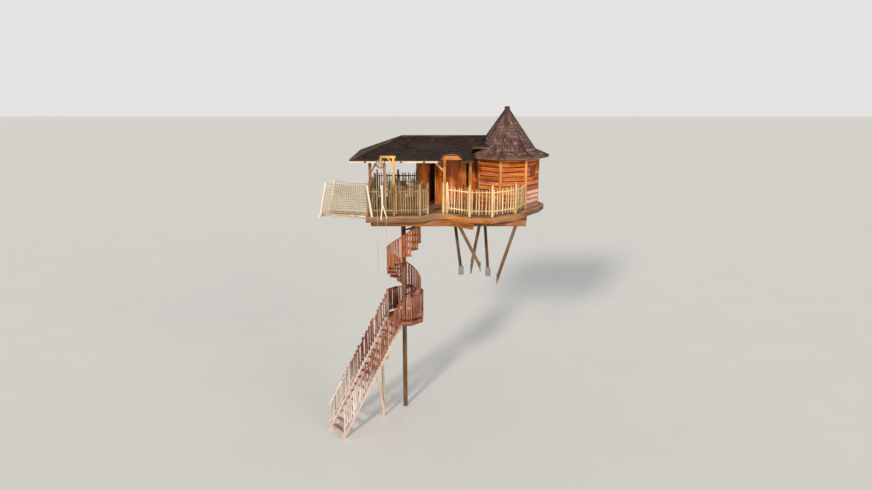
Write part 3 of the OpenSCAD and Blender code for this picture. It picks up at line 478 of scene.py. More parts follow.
FINISHES: dict[str, Timber | Metal | Glass | Rope] = {
    "dark_timber": Timber("#3e2819 #745032 #a0764e"),
    # The rim darkens towards its right end and towards its left end: painted shade.
    "rim_timber": Timber("#6c3810 #b26828 #da9a56",
                         zones=(Zone(Axis.X, 0.95, 1.5, "#604634", 0.85),
                                Zone(Axis.X, -1.75, -2.3, "#7a5436", 0.8))),
    "deck_boards": Timber("#62422a #9e744e #c49e74", weather=0.5),
    "steel": Metal("#949698", "#703e22", 0.85),
    "round_poles": Timber("#3a2414 #6e4a2a #9a7046", relief=0.005),
    "wall_boards": Timber("#602406 #c05c12 #ea943a", "#c08a68", 0.25, tones=0.8,
                          zones=(Zone(Axis.X, 1.2, 1.4, "#d4a28e", 0.75, below=1.15),)),
    "corner_timber": Timber("#924e1c #d08238 #ecae62",
                            zones=(Zone(Axis.X, -2.6, -2.9, "#926236", 0.85),)),
    "black_iron": Metal("#2c2b2c", "#54301e", 0.7),
    "door_boards": Timber("#b0460a #f0781a #fca03c", weather=0.05),
    "window_timber": Timber("#8c4a1e #ce7e3e #ecac68"),
    "window_glass": Glass("#803212", "#1e181a", "#96603e", shaded_to=0.4),
    "roof_shingles": Timber("#140d0b #281b17 #48352f", "#4c3e38", tones=0.9,
                            relief=0.004),
    "turret_shingles": Timber("#36221e #644640 #96746a", "#927a74", tones=0.9,
                              relief=0.004),
    "roof_caps": Timber("#22140e #3e2a20 #62483a"),
    # Right of x -2.1 the eave board turns dark brown: painted shade.
    "fascia_paint": Timber("#baa68c #e0d0ba #f4e8d6", weather=0.15,
                           zones=(Zone(Axis.X, -2.1, -2.04, "#4a3022", 0.95),)),
    # The porch's stakes, left of x -1.9, are darker: painted shade.
    "rail_stakes": Timber("#966e42 #dcb882 #fae2b4", "#d8c8aa", tones=0.6,
                          zones=(Zone(Axis.X, -1.9, -2.3, "#8c6a3e", 0.85),)),
    # The stair's timbers turn near white towards the foot of the flight: painted sunlight.
    "stair_timber": Timber("#502618 #884c32 #bc8062", "#b89480",
                           zones=(Zone(Axis.Z, -3.9, -3.3, "#a85e2a", 0.7),
                                  Zone(Axis.Z, -7.0, -7.9, "#e2d2c4", 0.6))),
    # The flight's slats turn near white towards its foot: painted sunlight.
    "stair_stakes": Timber("#52281b #90523a #c89076", "#c2a08c", tones=0.6,
                           zones=(Zone(Axis.Z, -3.0, -2.4, "#b06026", 0.85),
                                  Zone(Axis.Z, -6.0, -6.8, "#eee2d4", 0.85))),
    "bleached_poles": Timber("#b8a082 #e6d6ba #fcf6e6", "#ded4c4", tones=0.3),
    "bridge_boards": Timber("#a4866a #dec6a8 #faecd8", "#d6c4b0", 0.4),
    "bridge_rope": Rope("#80663e", "#d8c08e"),
    "hoist_timber": Timber("#8e5c18 #c88e32 #e4b456"),
    "hoist_wheel": Timber("#402a1a #6a4a30 #926c48"),
    "hoist_rope": Rope("#8c7650", "#decea4"),
    # Finishes of single pieces, and the bare walls and roofs below their boards
    "beams": Timber("#542e14 #965a2a #c6864c"),
    "door_surround": Timber("#b07442 #ecb276 #fcd8a6"),
    # The flight's sides are pale pinkish white all along: painted sunlight. They turn reddish and darker near
    # their top.
    "flight_sides": Timber("#aa7c6e #e6cabe #fcf0e8", "#dcbeb4",
                           zones=(Zone(Axis.Z, -5.2, -4.6, "#965442", 0.6),)),
    "inner_boards": Timber("#783e1c #b66a38 #d6925a", axis=Axis.Z, board=0.15),
    # Nearly black backing behind the turret's lap boards, seen in the gaps between them as painted shade.
    "turret_backing": Timber("#180b06 #2a140b #422214", axis=Axis.Z, board=0.12),
    "roof_lining": Timber("#3a2416 #68462c #8e6642", axis=Axis.X, board=0.13),
}


# Meshes


def new_mesh(source: bpy.types.Mesh | None = None) -> Mesh:
    """An empty mesh, or a copy of another, with room for the grain map and the tones.

    Args:
        source: the mesh to copy.

    Returns:
        The new mesh.
    """
    bm = bmesh.new()
    if source:
        bm.from_mesh(source)
    bm.loops.layers.uv.new(GRAIN)
    bm.faces.layers.float.new(TINT)
    return bm


def node_mesh(node: str) -> Mesh:
    """A merged copy of a node's mesh, with each flat as one face.

    Args:
        node: the node's name.

    Returns:
        The copy.
    """
    bm = new_mesh(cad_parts[node].data)
    bmesh.ops.remove_doubles(bm, verts=bm.verts, dist=MERGE)
    bmesh.ops.dissolve_limit(bm, angle_limit=math.radians(1.0), verts=bm.verts, edges=bm.edges)
    bm.normal_update()
    return bm


def joined(faces: Faces) -> list[Faces]:
    """Splits faces into groups that share edges.

    Args:
        faces: the faces.

    Returns:
        The groups.
    """
    left = set(faces)
    groups = []
    for face in faces:
        if face not in left:
            continue
        left.remove(face)
        group = [face]
        for member in group:
            for near in (n for edge in member.edges for n in edge.link_faces):
                if near in left:
                    left.remove(near)
                    group.append(near)
        groups.append(group)
    return groups


def solids_of(bm: Mesh) -> list[Faces]:
    """The faces of each solid of a mesh, in order of place.

    Args:
        bm: the mesh.

    Returns:
        A list of faces for each solid.
    """
    def middle(faces: Faces) -> tuple[float, ...]:
        """The middle of the box round some faces."""
        points = np.array([v.co for face in faces for v in face.verts])
        return tuple(round(c, 3) for c in Vector((points.min(0) + points.max(0)) / 2))
    return sorted(joined(list(bm.faces)), key=middle)


def solid_points(node: str) -> list[np.ndarray]:
    """The corners of each solid of a node.

    Args:
        node: the node's name.

    Returns:
        One array of points for each solid.
    """
    bm = node_mesh(node)
    found = [np.array(sorted({tuple(v.co) for face in faces for v in face.verts})) for faces in solids_of(bm)]
    bm.free()
    return found


def map_grain(bm: Mesh, faces: Faces, tint: float, along: Vector | None = None) -> None:
    """Writes the grain map and the tone of some faces.

    Args:
        bm: the mesh.
        faces: its faces to map.
        tint: the tone of the piece, from 0 to 1.
        along: the way of the grain, or None for each face's longest edge.
    """
    uv, tone = bm.loops.layers.uv[GRAIN], bm.faces.layers.float[TINT]
    for face in faces:
        way = along
        if way is None:
            longest = max(face.edges, key=lambda e: e.calc_length())
            way = (longest.verts[1].co - longest.verts[0].co).normalized()
            if way.dot(Vector((1.0, 0.7, 0.4))) < 0:
                way.negate()
        across = face.normal.cross(way)
        face[tone] = tint
        for loop in face.loops:
            loop[uv].uv = (loop.vert.co.dot(way), loop.vert.co.dot(across) + tint * 3.0)


def link(name: str, data: bpy.types.ID) -> Piece:
    """Makes an object of some data and puts it into the scene.

    Args:
        name: the object's name.
        data: its mesh, camera or light.

    Returns:
        The object.
    """
    made = bpy.data.objects.new(name, data)
    bpy.context.scene.collection.objects.link(made)
    return made


def point_mesh(name: str, points: Iterable[Vector], edges: Sequence[tuple[int, int]] = (),
               faces: Sequence[Sequence[int]] = ()) -> bpy.types.Mesh:
    """Makes a mesh of points.

    Args:
        name: the mesh's name.
        points: its points.
        edges: its edges, as pairs of numbers of points.
        faces: its faces, as rings of numbers.

    Returns:
        The mesh.
    """
    mesh = bpy.data.meshes.new(name)
    mesh.from_pydata([tuple(p) for p in points], edges, faces)
    return mesh


def to_object(name: str, bm: Mesh, smooth: float = 0.0) -> Piece:
    """Makes an object of a mesh.

    Args:
        name: the object's name.
        bm: the mesh, which is freed.
        smooth: the angle in degrees below which edges are shaded round, or 0 for flat.

    Returns:
        The new object.
    """
    if smooth:
        for face in bm.faces:
            face.smooth = True
        for edge in bm.edges:
            edge.smooth = len(edge.link_faces) == 2 and edge.calc_face_angle(math.pi) < math.radians(smooth)
    mesh = bpy.data.meshes.new(name)
    bm.to_mesh(mesh)
    bm.free()
    return link(name, mesh)


# Boards and shingles, cut from flat faces


@dataclass(frozen=True)
class Flat:
    """The outward faces of one flat of a node."""

    normal: Vector
    outlines: list[Points]
    area: float

    @property
    def points(self) -> Points:
        """All corners of the flat."""
        return [p for outline in self.outlines for p in outline]


def flats_of(node: str, wanted: Callable[[Vector, Vector], bool]) -> list[Flat]:
    """The flats of a node that face the wanted way, the largest first.

    Args:
        node: the node's name.
        wanted: says of a face's normal and middle whether it counts.

    Returns:
        The flats.
    """
    bm = node_mesh(node)
    groups: dict[tuple[float, ...], Faces] = {}
    for face in bm.faces:
        middle = face.calc_center_median()
        if face.calc_area() > 1e-4 and wanted(face.normal, middle):
            key = (*(round(c, 2) for c in face.normal), round(middle.dot(face.normal), 2))
            groups.setdefault(key, []).append(face)
    found = [Flat(faces[0].normal.copy(), [[v.co.copy() for v in f.verts] for f in faces],
                  sum(f.calc_area() for f in faces)) for faces in groups.values()]
    bm.free()
    return sorted(found, key=lambda flat: (-round(flat.area, 4), tuple(round(c, 3) for c in flat.points[0])))


@dataclass(frozen=True)
class Boarding:
    """How a flat is cut into boards or shingles, in metres.

    A board stands out from its flat by low_out and high_out at its two long edges and by back_out at its
    back. Its length lies between shortest and longest. Start is where the first row begins, or None for the
    flat's own edge.
    """

    width: float
    gap: float
    shortest: float
    longest: float
    low_out: float = 0.0
    high_out: float = 0.0
    back_out: float = 0.0
    butt_gap: float = 0.003
    loose: float = 0.0
    ragged: float = 0.0
    wavy: float = 0.0
    grain_across: bool = False
    start: float | None = None


@dataclass
class Laying:
    """The laying of boards on one flat, row by row across it."""

    boards: Boarding
    target: Mesh
    flat: Flat
    across: Vector
    rng: random.Random

    def lay(self) -> None:
        """Lays all rows of boards."""
        self.along = self.across.cross(self.flat.normal).normalized()
        self.sheet = bmesh.new()
        for outline in self.flat.outlines:
            self.sheet.faces.new([self.sheet.verts.new(p) for p in outline])
        bmesh.ops.remove_doubles(self.sheet, verts=self.sheet.verts, dist=MERGE)
        self.sheet.normal_update()
        spots = [v.co.dot(self.across) for v in self.sheet.verts]
        low = min(spots) if self.boards.start is None else self.boards.start
        for number in range(math.ceil((max(spots) - low) / self.boards.width)):
            self.row(low + number * self.boards.width)
        self.sheet.free()

    def cut(self, faces: Faces, at: float, way: Vector) -> Faces:
        """Cuts faces of the sheet by a plane.

        Args:
            faces: the faces to cut.
            at: the plane's place along the way.
            way: the plane's normal.

        Returns:
            The faces after the cut.
        """
        spots = [v.co.dot(way) for face in faces for v in face.verts]
        if not spots or at <= min(spots) + NEAR or at >= max(spots) - NEAR:
            return faces
        parts = {item for face in faces for item in (face, *face.edges, *face.verts)}
        ordered = sorted(parts, key=lambda item: (type(item).__name__, item.index))
        found = bmesh.ops.bisect_plane(self.sheet, geom=ordered, dist=1e-6, plane_co=way * at, plane_no=way)
        for items in (self.sheet.faces, self.sheet.edges, self.sheet.verts):
            items.index_update()
        return [item for item in found["geom"] if isinstance(item, bmesh.types.BMFace)]

    @staticmethod
    def between(faces: Iterable[bmesh.types.BMFace], low: float, high: float, way: Vector) -> Faces:
        """The faces whose middles lie between two places along a way."""
        return [f for f in faces if low - NEAR < f.calc_center_median().dot(way) < high + NEAR]

    def row(self, edge: float) -> None:
        """Lays one row of boards.

        Args:
            edge: where the row begins along the way across.
        """
        b, rng, along = self.boards, self.rng, self.along
        low, high = edge + b.gap / 2, edge + b.width - b.gap / 2
        self.sheet.faces.index_update()
        for at in (low, high):
            self.cut(list(self.sheet.faces), at, self.across)
        row = self.between(self.sheet.faces, low, high, self.across)
        if not row:
            return
        ends = [v.co.dot(along) for f in row for v in f.verts]
        at = min(ends) - rng.uniform(0.0, b.shortest)
        while at < max(ends):
            length = rng.uniform(b.shortest, b.longest)
            start, end = at + b.butt_gap / 2, at + length - b.butt_gap / 2
            row = self.cut(self.cut(row, start, along), end, along)
            piece = self.between(row, start, end, along)
            if b.wavy:
                for number in range(1, math.ceil(length / WAVE_STEP)):
                    piece = self.cut(piece, at + number * WAVE_STEP, along)
                row = self.between(self.sheet.faces, low, high, self.across)
            for part in joined(piece):
                if sum(f.calc_area() for f in part) > SCRAP:
                    self.board(part, edge)
            at += length

    def board(self, faces: Faces, edge: float) -> None:
        """Makes one board of the faces that it covers.

        Args:
            faces: the board's faces.
            edge: where its row begins.
        """
        b, rng = self.boards, self.rng
        numbers: dict[bmesh.types.BMVert, int] = {}
        for vert in (v for face in faces for v in face.verts):
            numbers.setdefault(vert, len(numbers))
        loose, drop, tint = rng.uniform(0.0, b.loose), rng.uniform(0.0, b.ragged), rng.random()
        front, back = [], []
        for vert in numbers:
            share = min(1.0, max(0.0, (vert.co.dot(self.across) - edge) / b.width))
            out = b.low_out + (b.high_out - b.low_out) * share + loose * (1 - share)
            fall = drop + b.wavy * (0.5 + 0.5 * noise.noise(vert.co * 3.1 + Vector((tint * 9, 0, 0))))
            shift = self.across * (-fall if share < 0.1 else 0.0)
            front.append(vert.co + self.flat.normal * out + shift)
            back.append(vert.co + self.flat.normal * b.back_out + shift)
        inside = set(faces)
        borders = [(numbers[loop.vert], numbers[loop.link_loop_next.vert]) for face in faces
                   for loop in face.loops if sum(near in inside for near in loop.edge.link_faces) == 1]
        rings = [[numbers[v] for v in face.verts] for face in faces]
        tops, lows = [[self.target.verts.new(p) for p in skin] for skin in (front, back)]
        made = [[tops[i] for i in ring] for ring in rings]
        made += [[lows[i] for i in reversed(ring)] for ring in rings]
        made += [[tops[j], tops[i], lows[i], lows[j]] for i, j in borders]
        made = [self.target.faces.new(corners) for corners in made]
        for face in made:
            face.normal_update()
        map_grain(self.target, made, tint, self.across if b.grain_across else self.along)


# Fitting of pieces


@dataclass
class Fitter:
    """Gives each piece its finish and its body, and reports it."""

    materials: dict[str, bpy.types.Material] = field(default_factory=dict)

    def material(self, name: str) -> bpy.types.Material:
        """The material of a finish, built when it is first asked for.

        Args:
            name: the finish's name.

        Returns:
            The material.
        """
        if name not in self.materials:
            self.materials[name] = FINISHES[name].build(name)
        return self.materials[name]

    def fit(self, piece: Piece, slot: Slot, replaces: Sequence[str] = (), body: str = HOUSE) -> Piece:
        """Dresses a piece, in its own finish where it has one, and ties it to its body.

        Args:
            piece: the piece.
            slot: its finish.
            replaces: the nodes that it stands for.
            body: the body that it rides on.

        Returns:
            The piece.
        """
        if not piece.data.materials:
            name = piece.name if piece.name in FINISHES else slot.value
            piece.data.materials.append(self.material(name))
        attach(piece, body)
        if replaces:
            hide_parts(*replaces)
        log.info("%s: %d faces, %s", piece.name, len(piece.data.polygons), slot.value)
        return piece

    def dress(self, finish: str, *nodes: str) -> None:
        """Gives nodes of the frame their finish.

        Args:
            finish: the finish's name.
            nodes: the nodes' names.
        """
        for node in nodes:
            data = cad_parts[node].data
            data.materials.clear()
            data.materials.append(self.material(finish))

    def timber(self, name: str, node: str, slot: Slot, edge: float = 0.0,
               lift: Callable[[Vector], Vector] | None = None, smooth: float = 40.0) -> None:
        """Replaces a node by timbers with eased edges, a grain along each, and a tone of its own.

        Args:
            name: the piece's name.
            node: the node that it stands for.
            slot: its finish.
            edge: how wide the edges are eased, in metres.
            lift: how each corner is moved to stand clear of what is laid below it.
            smooth: the angle below which edges are shaded round.
        """
        bm = node_mesh(node)
        rng = random.Random(name)
        if edge:
            sharp = [e for e in bm.edges if len(e.link_faces) == 2 and e.calc_face_angle(0) > SHARP]
            bmesh.ops.bevel(bm, geom=sharp, offset=edge, segments=1, affect="EDGES", clamp_overlap=True)
            bm.normal_update()
        for faces in solids_of(bm):
            map_grain(bm, faces, rng.random())
        if lift:
            for vert in bm.verts:
                vert.co += lift(vert.co)
        self.fit(to_object(name, bm, smooth), slot, [node])


# Sticks, bolts and cords by Geometry Nodes


class Stick(Enum):
    """The forms that are repeated along rails and panels."""

    ROUND = "round"
    FLAT = "flat"
    BOLT = "bolt"
    KNOT = "knot"


@dataclass
class StickField:
    """A set of like sticks, each with its foot, its way, its face and its size."""

    name: str
    form: Stick
    feet: Points = field(default_factory=list)
    ways: Points = field(default_factory=list)
    faces: Points = field(default_factory=list)
    sizes: Points = field(default_factory=list)
    tints: list[float] = field(default_factory=list)

    def add(self, foot: Vector, top: Vector, face: Vector, wide: float, deep: float, tint: float) -> None:
        """Adds a stick.

        Args:
            foot: its lower end.
            top: its upper end.
            face: the way that its flat side faces.
            wide: its width, in metres.
            deep: its depth, in metres.
            tint: its tone, from 0 to 1.
        """
        self.feet.append(foot)
        self.ways.append((top - foot).normalized())
        self.faces.append(face)
        self.sizes.append(Vector((wide, deep, (top - foot).length)))
        self.tints.append(tint)

    def seeds(self) -> Piece:
        """Makes the sticks' feet as points.

        Returns:
            The points, which carry the sticks' ways, faces, sizes and tones.
        """
        mesh = point_mesh(self.name, self.feet)
        for label, values in (("way", self.ways), ("face", self.faces), ("size", self.sizes)):
            layer = mesh.attributes.new(label, "FLOAT_VECTOR", "POINT")
            layer.data.foreach_set("vector", [c for value in values for c in value])
        mesh.attributes.new(TINT, "FLOAT", "POINT").data.foreach_set("value", self.tints)
        return link(self.name, mesh)


class PieceTree(Graph):
    """A Geometry Nodes tree with named inputs that ends in plain meshes with a material."""

    def __init__(self, name: str, sizes: Mapping[str, str]) -> None:
        """Starts a tree.

        Args:
            name: the tree's name.
            sizes: the kinds of its own inputs by name, beside those that every tree has.
        """
        super().__init__(bpy.data.node_groups.new(name, "GeometryNodeTree"))
        inputs = {"Geometry": "Geometry", "Stray": "Float", "Seed": "Int", "Material": "Material", **sizes}
        for label, kind in inputs.items():
            self.tree.interface.new_socket(name=label, in_out="INPUT", socket_type=f"NodeSocket{kind}")
        self.tree.interface.new_socket(name="Geometry", in_out="OUTPUT", socket_type="NodeSocketGeometry")
        self.given = self.node("NodeGroupInput").outputs
        self.place = self.out("GeometryNodeInputPosition")

    def named(self, label: str, kind: str = "FLOAT_VECTOR") -> Socket:
        """An attribute by its name."""
        return self.out("GeometryNodeInputNamedAttribute", {"Name": label}, data_type=kind)

    def stored(self, form: Socket, label: str, value: Socket, kind: str = "FLOAT",
               domain: str = "POINT") -> Socket:
        """A form with a value stored under a name."""
        return self.out("GeometryNodeStoreNamedAttribute", {"Geometry": form, "Name": label, "Value": value},
                        data_type=kind, domain=domain)

    def strayed(self, form: Socket, fine: float, shift: Socket) -> Socket:
        """Lets a form stray by smooth noise, as far as the tree's input says.

        Args:
            form: the form.
            fine: how fine the noise is.
            shift: where the noise is read, so that pieces differ.

        Returns:
            The strayed form.
        """
        spot = self.vector("ADD", self.vector("MULTIPLY", self.place, (fine, fine, fine)), shift)
        wander = self.out("ShaderNodeTexNoise", {"Vector": spot, "Scale": 1.0, "Detail": 1.0}, 1)
        offset = self.out("ShaderNodeVectorMath", {0: self.vector("SUBTRACT", wander, (0.5, 0.5, 0.5)),
                                                   3: self.given["Stray"]}, operation="SCALE")
        return self.out("GeometryNodeSetPosition", {"Geometry": form, "Offset": offset})

    def finish(self, form: Socket, along: Socket, across: Socket, soft: bool) -> bpy.types.NodeTree:
        """Stores the grain map and ends the tree.

        Args:
            form: the form.
            along: the place along the grain.
            across: the place across it.
            soft: whether the form is shaded round.

        Returns:
            The tree.
        """
        form = self.stored(form, GRAIN, self.combine(along, across, 0.0), "FLOAT2", "CORNER")
        if soft:
            form = self.out("GeometryNodeSetShadeSmooth", {"Geometry": form})
        real = self.out("GeometryNodeRealizeInstances", {"Geometry": form})
        self.node("NodeGroupOutput", {"Geometry": self.out(
            "GeometryNodeSetMaterial", {"Geometry": real, "Material": self.given["Material"]})})
        return self.tree


@dataclass(frozen=True)
class StickTree:
    """A tree that sets a stick on each point: its sides, its steps along its length, and its tip's width."""

    form: Stick
    sides: int
    rings: int
    tip: float

    def build(self) -> bpy.types.NodeTree:
        """Builds the tree.

        Returns:
            The tree, with named inputs for the stray, the seed and the material.
        """
        g = PieceTree(f"sticks_{self.form.value}_{self.tip:g}", {})
        way, face = g.named("way"), g.named("face")
        align = "FunctionNodeAlignRotationToVector"
        turn = g.out(align, {"Vector": way}, axis="Z")
        turn = g.out(align, {"Rotation": turn, "Vector": face}, axis="Y", pivot_axis="Z")
        placed = g.out("GeometryNodeInstanceOnPoints", {
            "Points": g.given["Geometry"], "Instance": self.shape(g), "Rotation": turn,
            "Scale": g.named("size")})
        shift = g.combine(g.math("MULTIPLY", g.named(TINT, "FLOAT"), 91.0), g.given["Seed"], 0.0)
        moved = g.strayed(g.out("GeometryNodeRealizeInstances", {"Geometry": placed}), 2.3, shift)
        around = g.vector("ADD", g.vector("CROSS_PRODUCT", way, face), face)
        along, across = [g.vector("DOT_PRODUCT", g.place, axis) for axis in (way, around)]
        return g.finish(moved, along, across, self.form in (Stick.ROUND, Stick.KNOT))

    def shape(self, g: PieceTree) -> Socket:
        """The shape of one stick, one unit high on its foot.

        Args:
            g: the tree's graph.

        Returns:
            The shape's geometry.
        """
        def raised(form: Socket, height: float) -> Socket:
            """A form moved up."""
            return g.out("GeometryNodeTransform", {"Geometry": form, "Translation": (0, 0, height)})

        def cylinder(sides: int, radius: float, depth: float, steps: int = 1) -> Socket:
            """A cylinder round its middle."""
            return g.out("GeometryNodeMeshCylinder", {"Vertices": sides, "Side Segments": steps,
                                                      "Radius": radius, "Depth": depth})
        if self.form is Stick.FLAT:
            cube = g.out("GeometryNodeMeshCube", {"Size": (1.0, 1.0, 1.0), "Vertices Z": self.rings})
            return raised(cube, 0.5)
        if self.form is Stick.KNOT:
            return g.out("GeometryNodeMeshIcoSphere", {"Radius": 0.5, "Subdivisions": 2})
        if self.form is Stick.BOLT:
            both = g.node("GeometryNodeJoinGeometry")
            washer, head = raised(cylinder(14, 0.5, 0.25), 0.125), raised(cylinder(6, 0.3, 0.75), 0.6)
            for part in (washer, head):
                g.feed(both, {0: part})
            return both.outputs[0]
        rod = raised(cylinder(self.sides, 0.5, 1.0, self.rings), 0.5)
        profile = g.node("ShaderNodeFloatCurve", {"Value": g.part(g.place, Axis.Z)})
        curve = profile.mapping.curves[0]
        curve.points[0].location = (0.0, 1.0)
        curve.points[1].location = (1.0, self.tip)
        for at, size in ((0.5, 0.94), (0.93, 0.88)):
            curve.points.new(at, size)
        profile.mapping.update()
        slim = g.combine(profile.outputs[0], profile.outputs[0], 1.0)
        spot = g.vector("MULTIPLY", g.place, slim)
        return g.out("GeometryNodeSetPosition", {"Geometry": rod, "Position": spot})


@dataclass(frozen=True)
class CordTree:
    """A tree that makes cords of the edges of a mesh."""

    def build(self) -> bpy.types.NodeTree:
        """Builds the tree.

        Returns:
            The tree, with named inputs for the cord's radius and sides, the stray, the seed and the material.
        """
        g = PieceTree("cords", {"Radius": "Float", "Sides": "Int"})
        moved = g.strayed(g.given["Geometry"], 3.7, g.combine(g.given["Seed"], 0.0, 0.0))
        line = g.stored(g.out("GeometryNodeMeshToCurve", {"Mesh": moved}), "reach",
                        g.out("GeometryNodeSplineParameter", pick="Length"))
        ring = g.out("GeometryNodeCurvePrimitiveCircle", {"Resolution": g.given["Sides"],
                                                          "Radius": g.given["Radius"]})
        ring = g.stored(ring, "turn", g.out("GeometryNodeSplineParameter", pick="Factor"))
        tube = g.out("GeometryNodeCurveToMesh", {"Curve": line, "Profile Curve": ring, "Fill Caps": True})
        return g.finish(tube, g.named("reach", "FLOAT"), g.named("turn", "FLOAT"), True)


@dataclass
class NodeShop:
    """Runs the Geometry Nodes trees and fits their results as plain meshes."""

    fitter: Fitter
    trees: dict[StickTree | CordTree, bpy.types.NodeTree] = field(default_factory=dict)

    def run(self, source: Piece, kind: StickTree | CordTree, slot: Slot, replaces: Sequence[str],
            values: Mapping[str, object]) -> Piece:
        """Runs a tree on an object.

        Args:
            source: the object with the points or edges, which is used up.
            kind: the kind of tree.
            slot: the finish.
            replaces: the nodes that the result stands for.
            values: the tree's inputs by name.

        Returns:
            A new object with the result as a plain mesh.
        """
        if kind not in self.trees:
            self.trees[kind] = kind.build()
        step = source.modifiers.new("made", "NODES")
        step.node_group = self.trees[kind]
        inputs = {item.name: item.identifier for item in step.node_group.interface.items_tree
                  if getattr(item, "in_out", "") == "INPUT"}
        for label, value in {**values, "Material": self.fitter.material(slot.value)}.items():
            step[inputs[label]] = value
        graph = bpy.context.evaluated_depsgraph_get()
        mesh = bpy.data.meshes.new_from_object(source.evaluated_get(graph), preserve_all_data_layers=True,
                                               depsgraph=graph)
        name = source.name
        source.modifiers.remove(step)
        bpy.data.objects.remove(source)
        for label in ("way", "face", "size", "reach", "turn"):
            if label in mesh.attributes:
                mesh.attributes.remove(mesh.attributes[label])
        mesh.name = name
        return self.fitter.fit(link(name, mesh), slot, replaces)

    def sticks(self, sticks: StickField, slot: Slot, replaces: Sequence[str] = (), stray: float = 0.0,
               tip: float = 0.7, sides: int = 8, rings: int = 5) -> None:
        """Makes the sticks of a field.

        Args:
            sticks: the field.
            slot: the finish.
            replaces: the nodes that the sticks stand for.
            stray: how far they stray from straight, in metres.
            tip: the width of the tip as a share of the foot.
            sides: how many sides a round stick has.
            rings: how many steps it has along its length.
        """
        seed = sum(ord(letter) for letter in sticks.name) % 97
        self.run(sticks.seeds(), StickTree(sticks.form, sides, rings, tip), slot, replaces,
                 {"Stray": stray, "Seed": seed})

    def cords(self, name: str, lines: Sequence[Points], slot: Slot, radius: float, replaces: Sequence[str] = (),
              stray: float = 0.0, sides: int = 6) -> Piece:
        """Makes cords of lines.

        Args:
            name: the piece's name.
            lines: the lines that the cords follow.
            slot: the finish.
            radius: the cords' radius, in metres.
            replaces: the nodes that they stand for.
            stray: how far they stray, in metres.
            sides: how many sides they have.

        Returns:
            The cords as one piece.
        """
        points, edges = [], []
        for line in lines:
            edges += [(i, i + 1) for i in range(len(points), len(points) + len(line) - 1)]
            points += line
        return self.run(link(name, point_mesh(name, points, edges)), CordTree(), slot, replaces,
                        {"Radius": radius, "Sides": sides, "Stray": stray, "Seed": len(lines)})


# Camera, light and floor


@dataclass
class Studio:
    """The camera at the photograph's viewing angle, a pale floor and plain soft light."""

    place: tuple[float, float, float] = (-2.14, -25.06, 5.35)
    tilt: float = 76.0
    focal_px: float = 650.0
    frame_px: float = 872.0
    sensor: float = 36.0
    floor_half: float = 260.0

    def camera(self) -> None:
        """Places the camera."""
        data = bpy.data.cameras.new("camera")
        data.sensor_width = self.sensor
        data.lens = self.sensor * self.focal_px / self.frame_px
        data.clip_end = 1000.0
        made = link("camera", data)
        made.location = self.place
        made.rotation_euler = (math.radians(self.tilt), 0.0, 0.0)
        bpy.context.scene.camera = made

    def floor(self, level: float) -> None:
        """Lays the floor.

        Args:
            level: its height.
        """
        square = ((-1, -1), (1, -1), (1, 1), (-1, 1))
        corners = [(x * self.floor_half, y * self.floor_half, level) for x, y in square]
        made = link("floor", point_mesh("floor", corners, (), [(0, 1, 2, 3)]))
        g = MaterialGraph("floor")
        cloud = g.spread(g.noise(g.place, 0.4, detail=3.0), 0.3, 0.7, 0.0, 0.3)
        colour = g.mix(cloud, srgb("#e2e0dc"), srgb("#dad8d4"))
        made.data.materials.append(g.done({"Base Color": colour, "Roughness": 0.9}))
        made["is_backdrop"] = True

    def light(self) -> None:
        """Sets the world, one soft sun and a softer fill."""
        world = bpy.data.worlds.new("world")
        bpy.context.scene.world = world
        world.use_nodes = True
        g = Graph(world.node_tree)
        world.node_tree.nodes.clear()
        rays = g.node("ShaderNodeLightPath").outputs
        mirrored = g.math("MAXIMUM", rays["Is Glossy Ray"], rays["Is Transmission Ray"])
        seen = g.math("MAXIMUM", rays["Is Camera Ray"], mirrored)
        soft = g.out("ShaderNodeBackground", {"Color": (0.93, 0.96, 1.0, 1.0), "Strength": 0.48})
        plain = g.out("ShaderNodeBackground", {"Color": (0.86, 0.855, 0.845, 1.0), "Strength": 0.9})
        g.node("ShaderNodeOutputWorld", {"Surface": g.out("ShaderNodeMixShader", {0: seen, 1: soft, 2: plain})})
        self.sun("sun", energy=2.3, angle=8.0, colour=(1.0, 0.93, 0.82), tilt=66.0, turn=-24.0)
        self.sun("fill", energy=1.3, angle=40.0, colour=(1.0, 0.95, 0.88), tilt=76.0, turn=44.0)
        bpy.context.scene.view_settings.view_transform = "Standard"

    @staticmethod
    def sun(name: str, energy: float, angle: float, colour: Colour, tilt: float, turn: float) -> None:
        """Adds a sun lamp.

        Args:
            name: its name.
            energy: its strength.
            angle: how wide its disc is, in degrees.
            colour: its colour.
            tilt: its tilt from straight down, in degrees.
            turn: its turn about the upright, in degrees.
        """
        data = bpy.data.lights.new(name, "SUN")
        data.energy, data.angle, data.color = energy, math.radians(angle), colour
        link(name, data).rotation_euler = (math.radians(tilt), 0.0, math.radians(turn))


# The parts of the tree house


@dataclass
class Part:
    """A sub-assembly, with the fitter and the shop that make its pieces."""

    fitter: Fitter
    shop: NodeShop

    def timbers(self, *rows: tuple[str, str, Slot, float]) -> None:
        """Replaces nodes by timbers: piece, node, finish and how wide the edges are eased."""
        for row in rows:
            self.fitter.timber(*row)

    def lay(self, name: str, slot: Slot, boards: Boarding, rows: Iterable[tuple[Flat, Vector]], seed: str = "",
            replaces: Sequence[str] = (), body: str = HOUSE) -> None:
        """Lays boards or shingles on flats.

        Args:
            name: the piece's name.
            slot: its finish.
            boards: how the flats are cut.
            rows: each flat with the way from row to row.
            seed: the seed of chance, where it isn't the name.
            replaces: the nodes that the boards stand for.
            body: the body that they ride on.
        """
        bm = new_mesh()
        rng = random.Random(seed or name)
        for flat, across in rows:
            Laying(boards, bm, flat, across, rng).lay()
        self.fitter.fit(to_object(name, bm), slot, replaces, body)


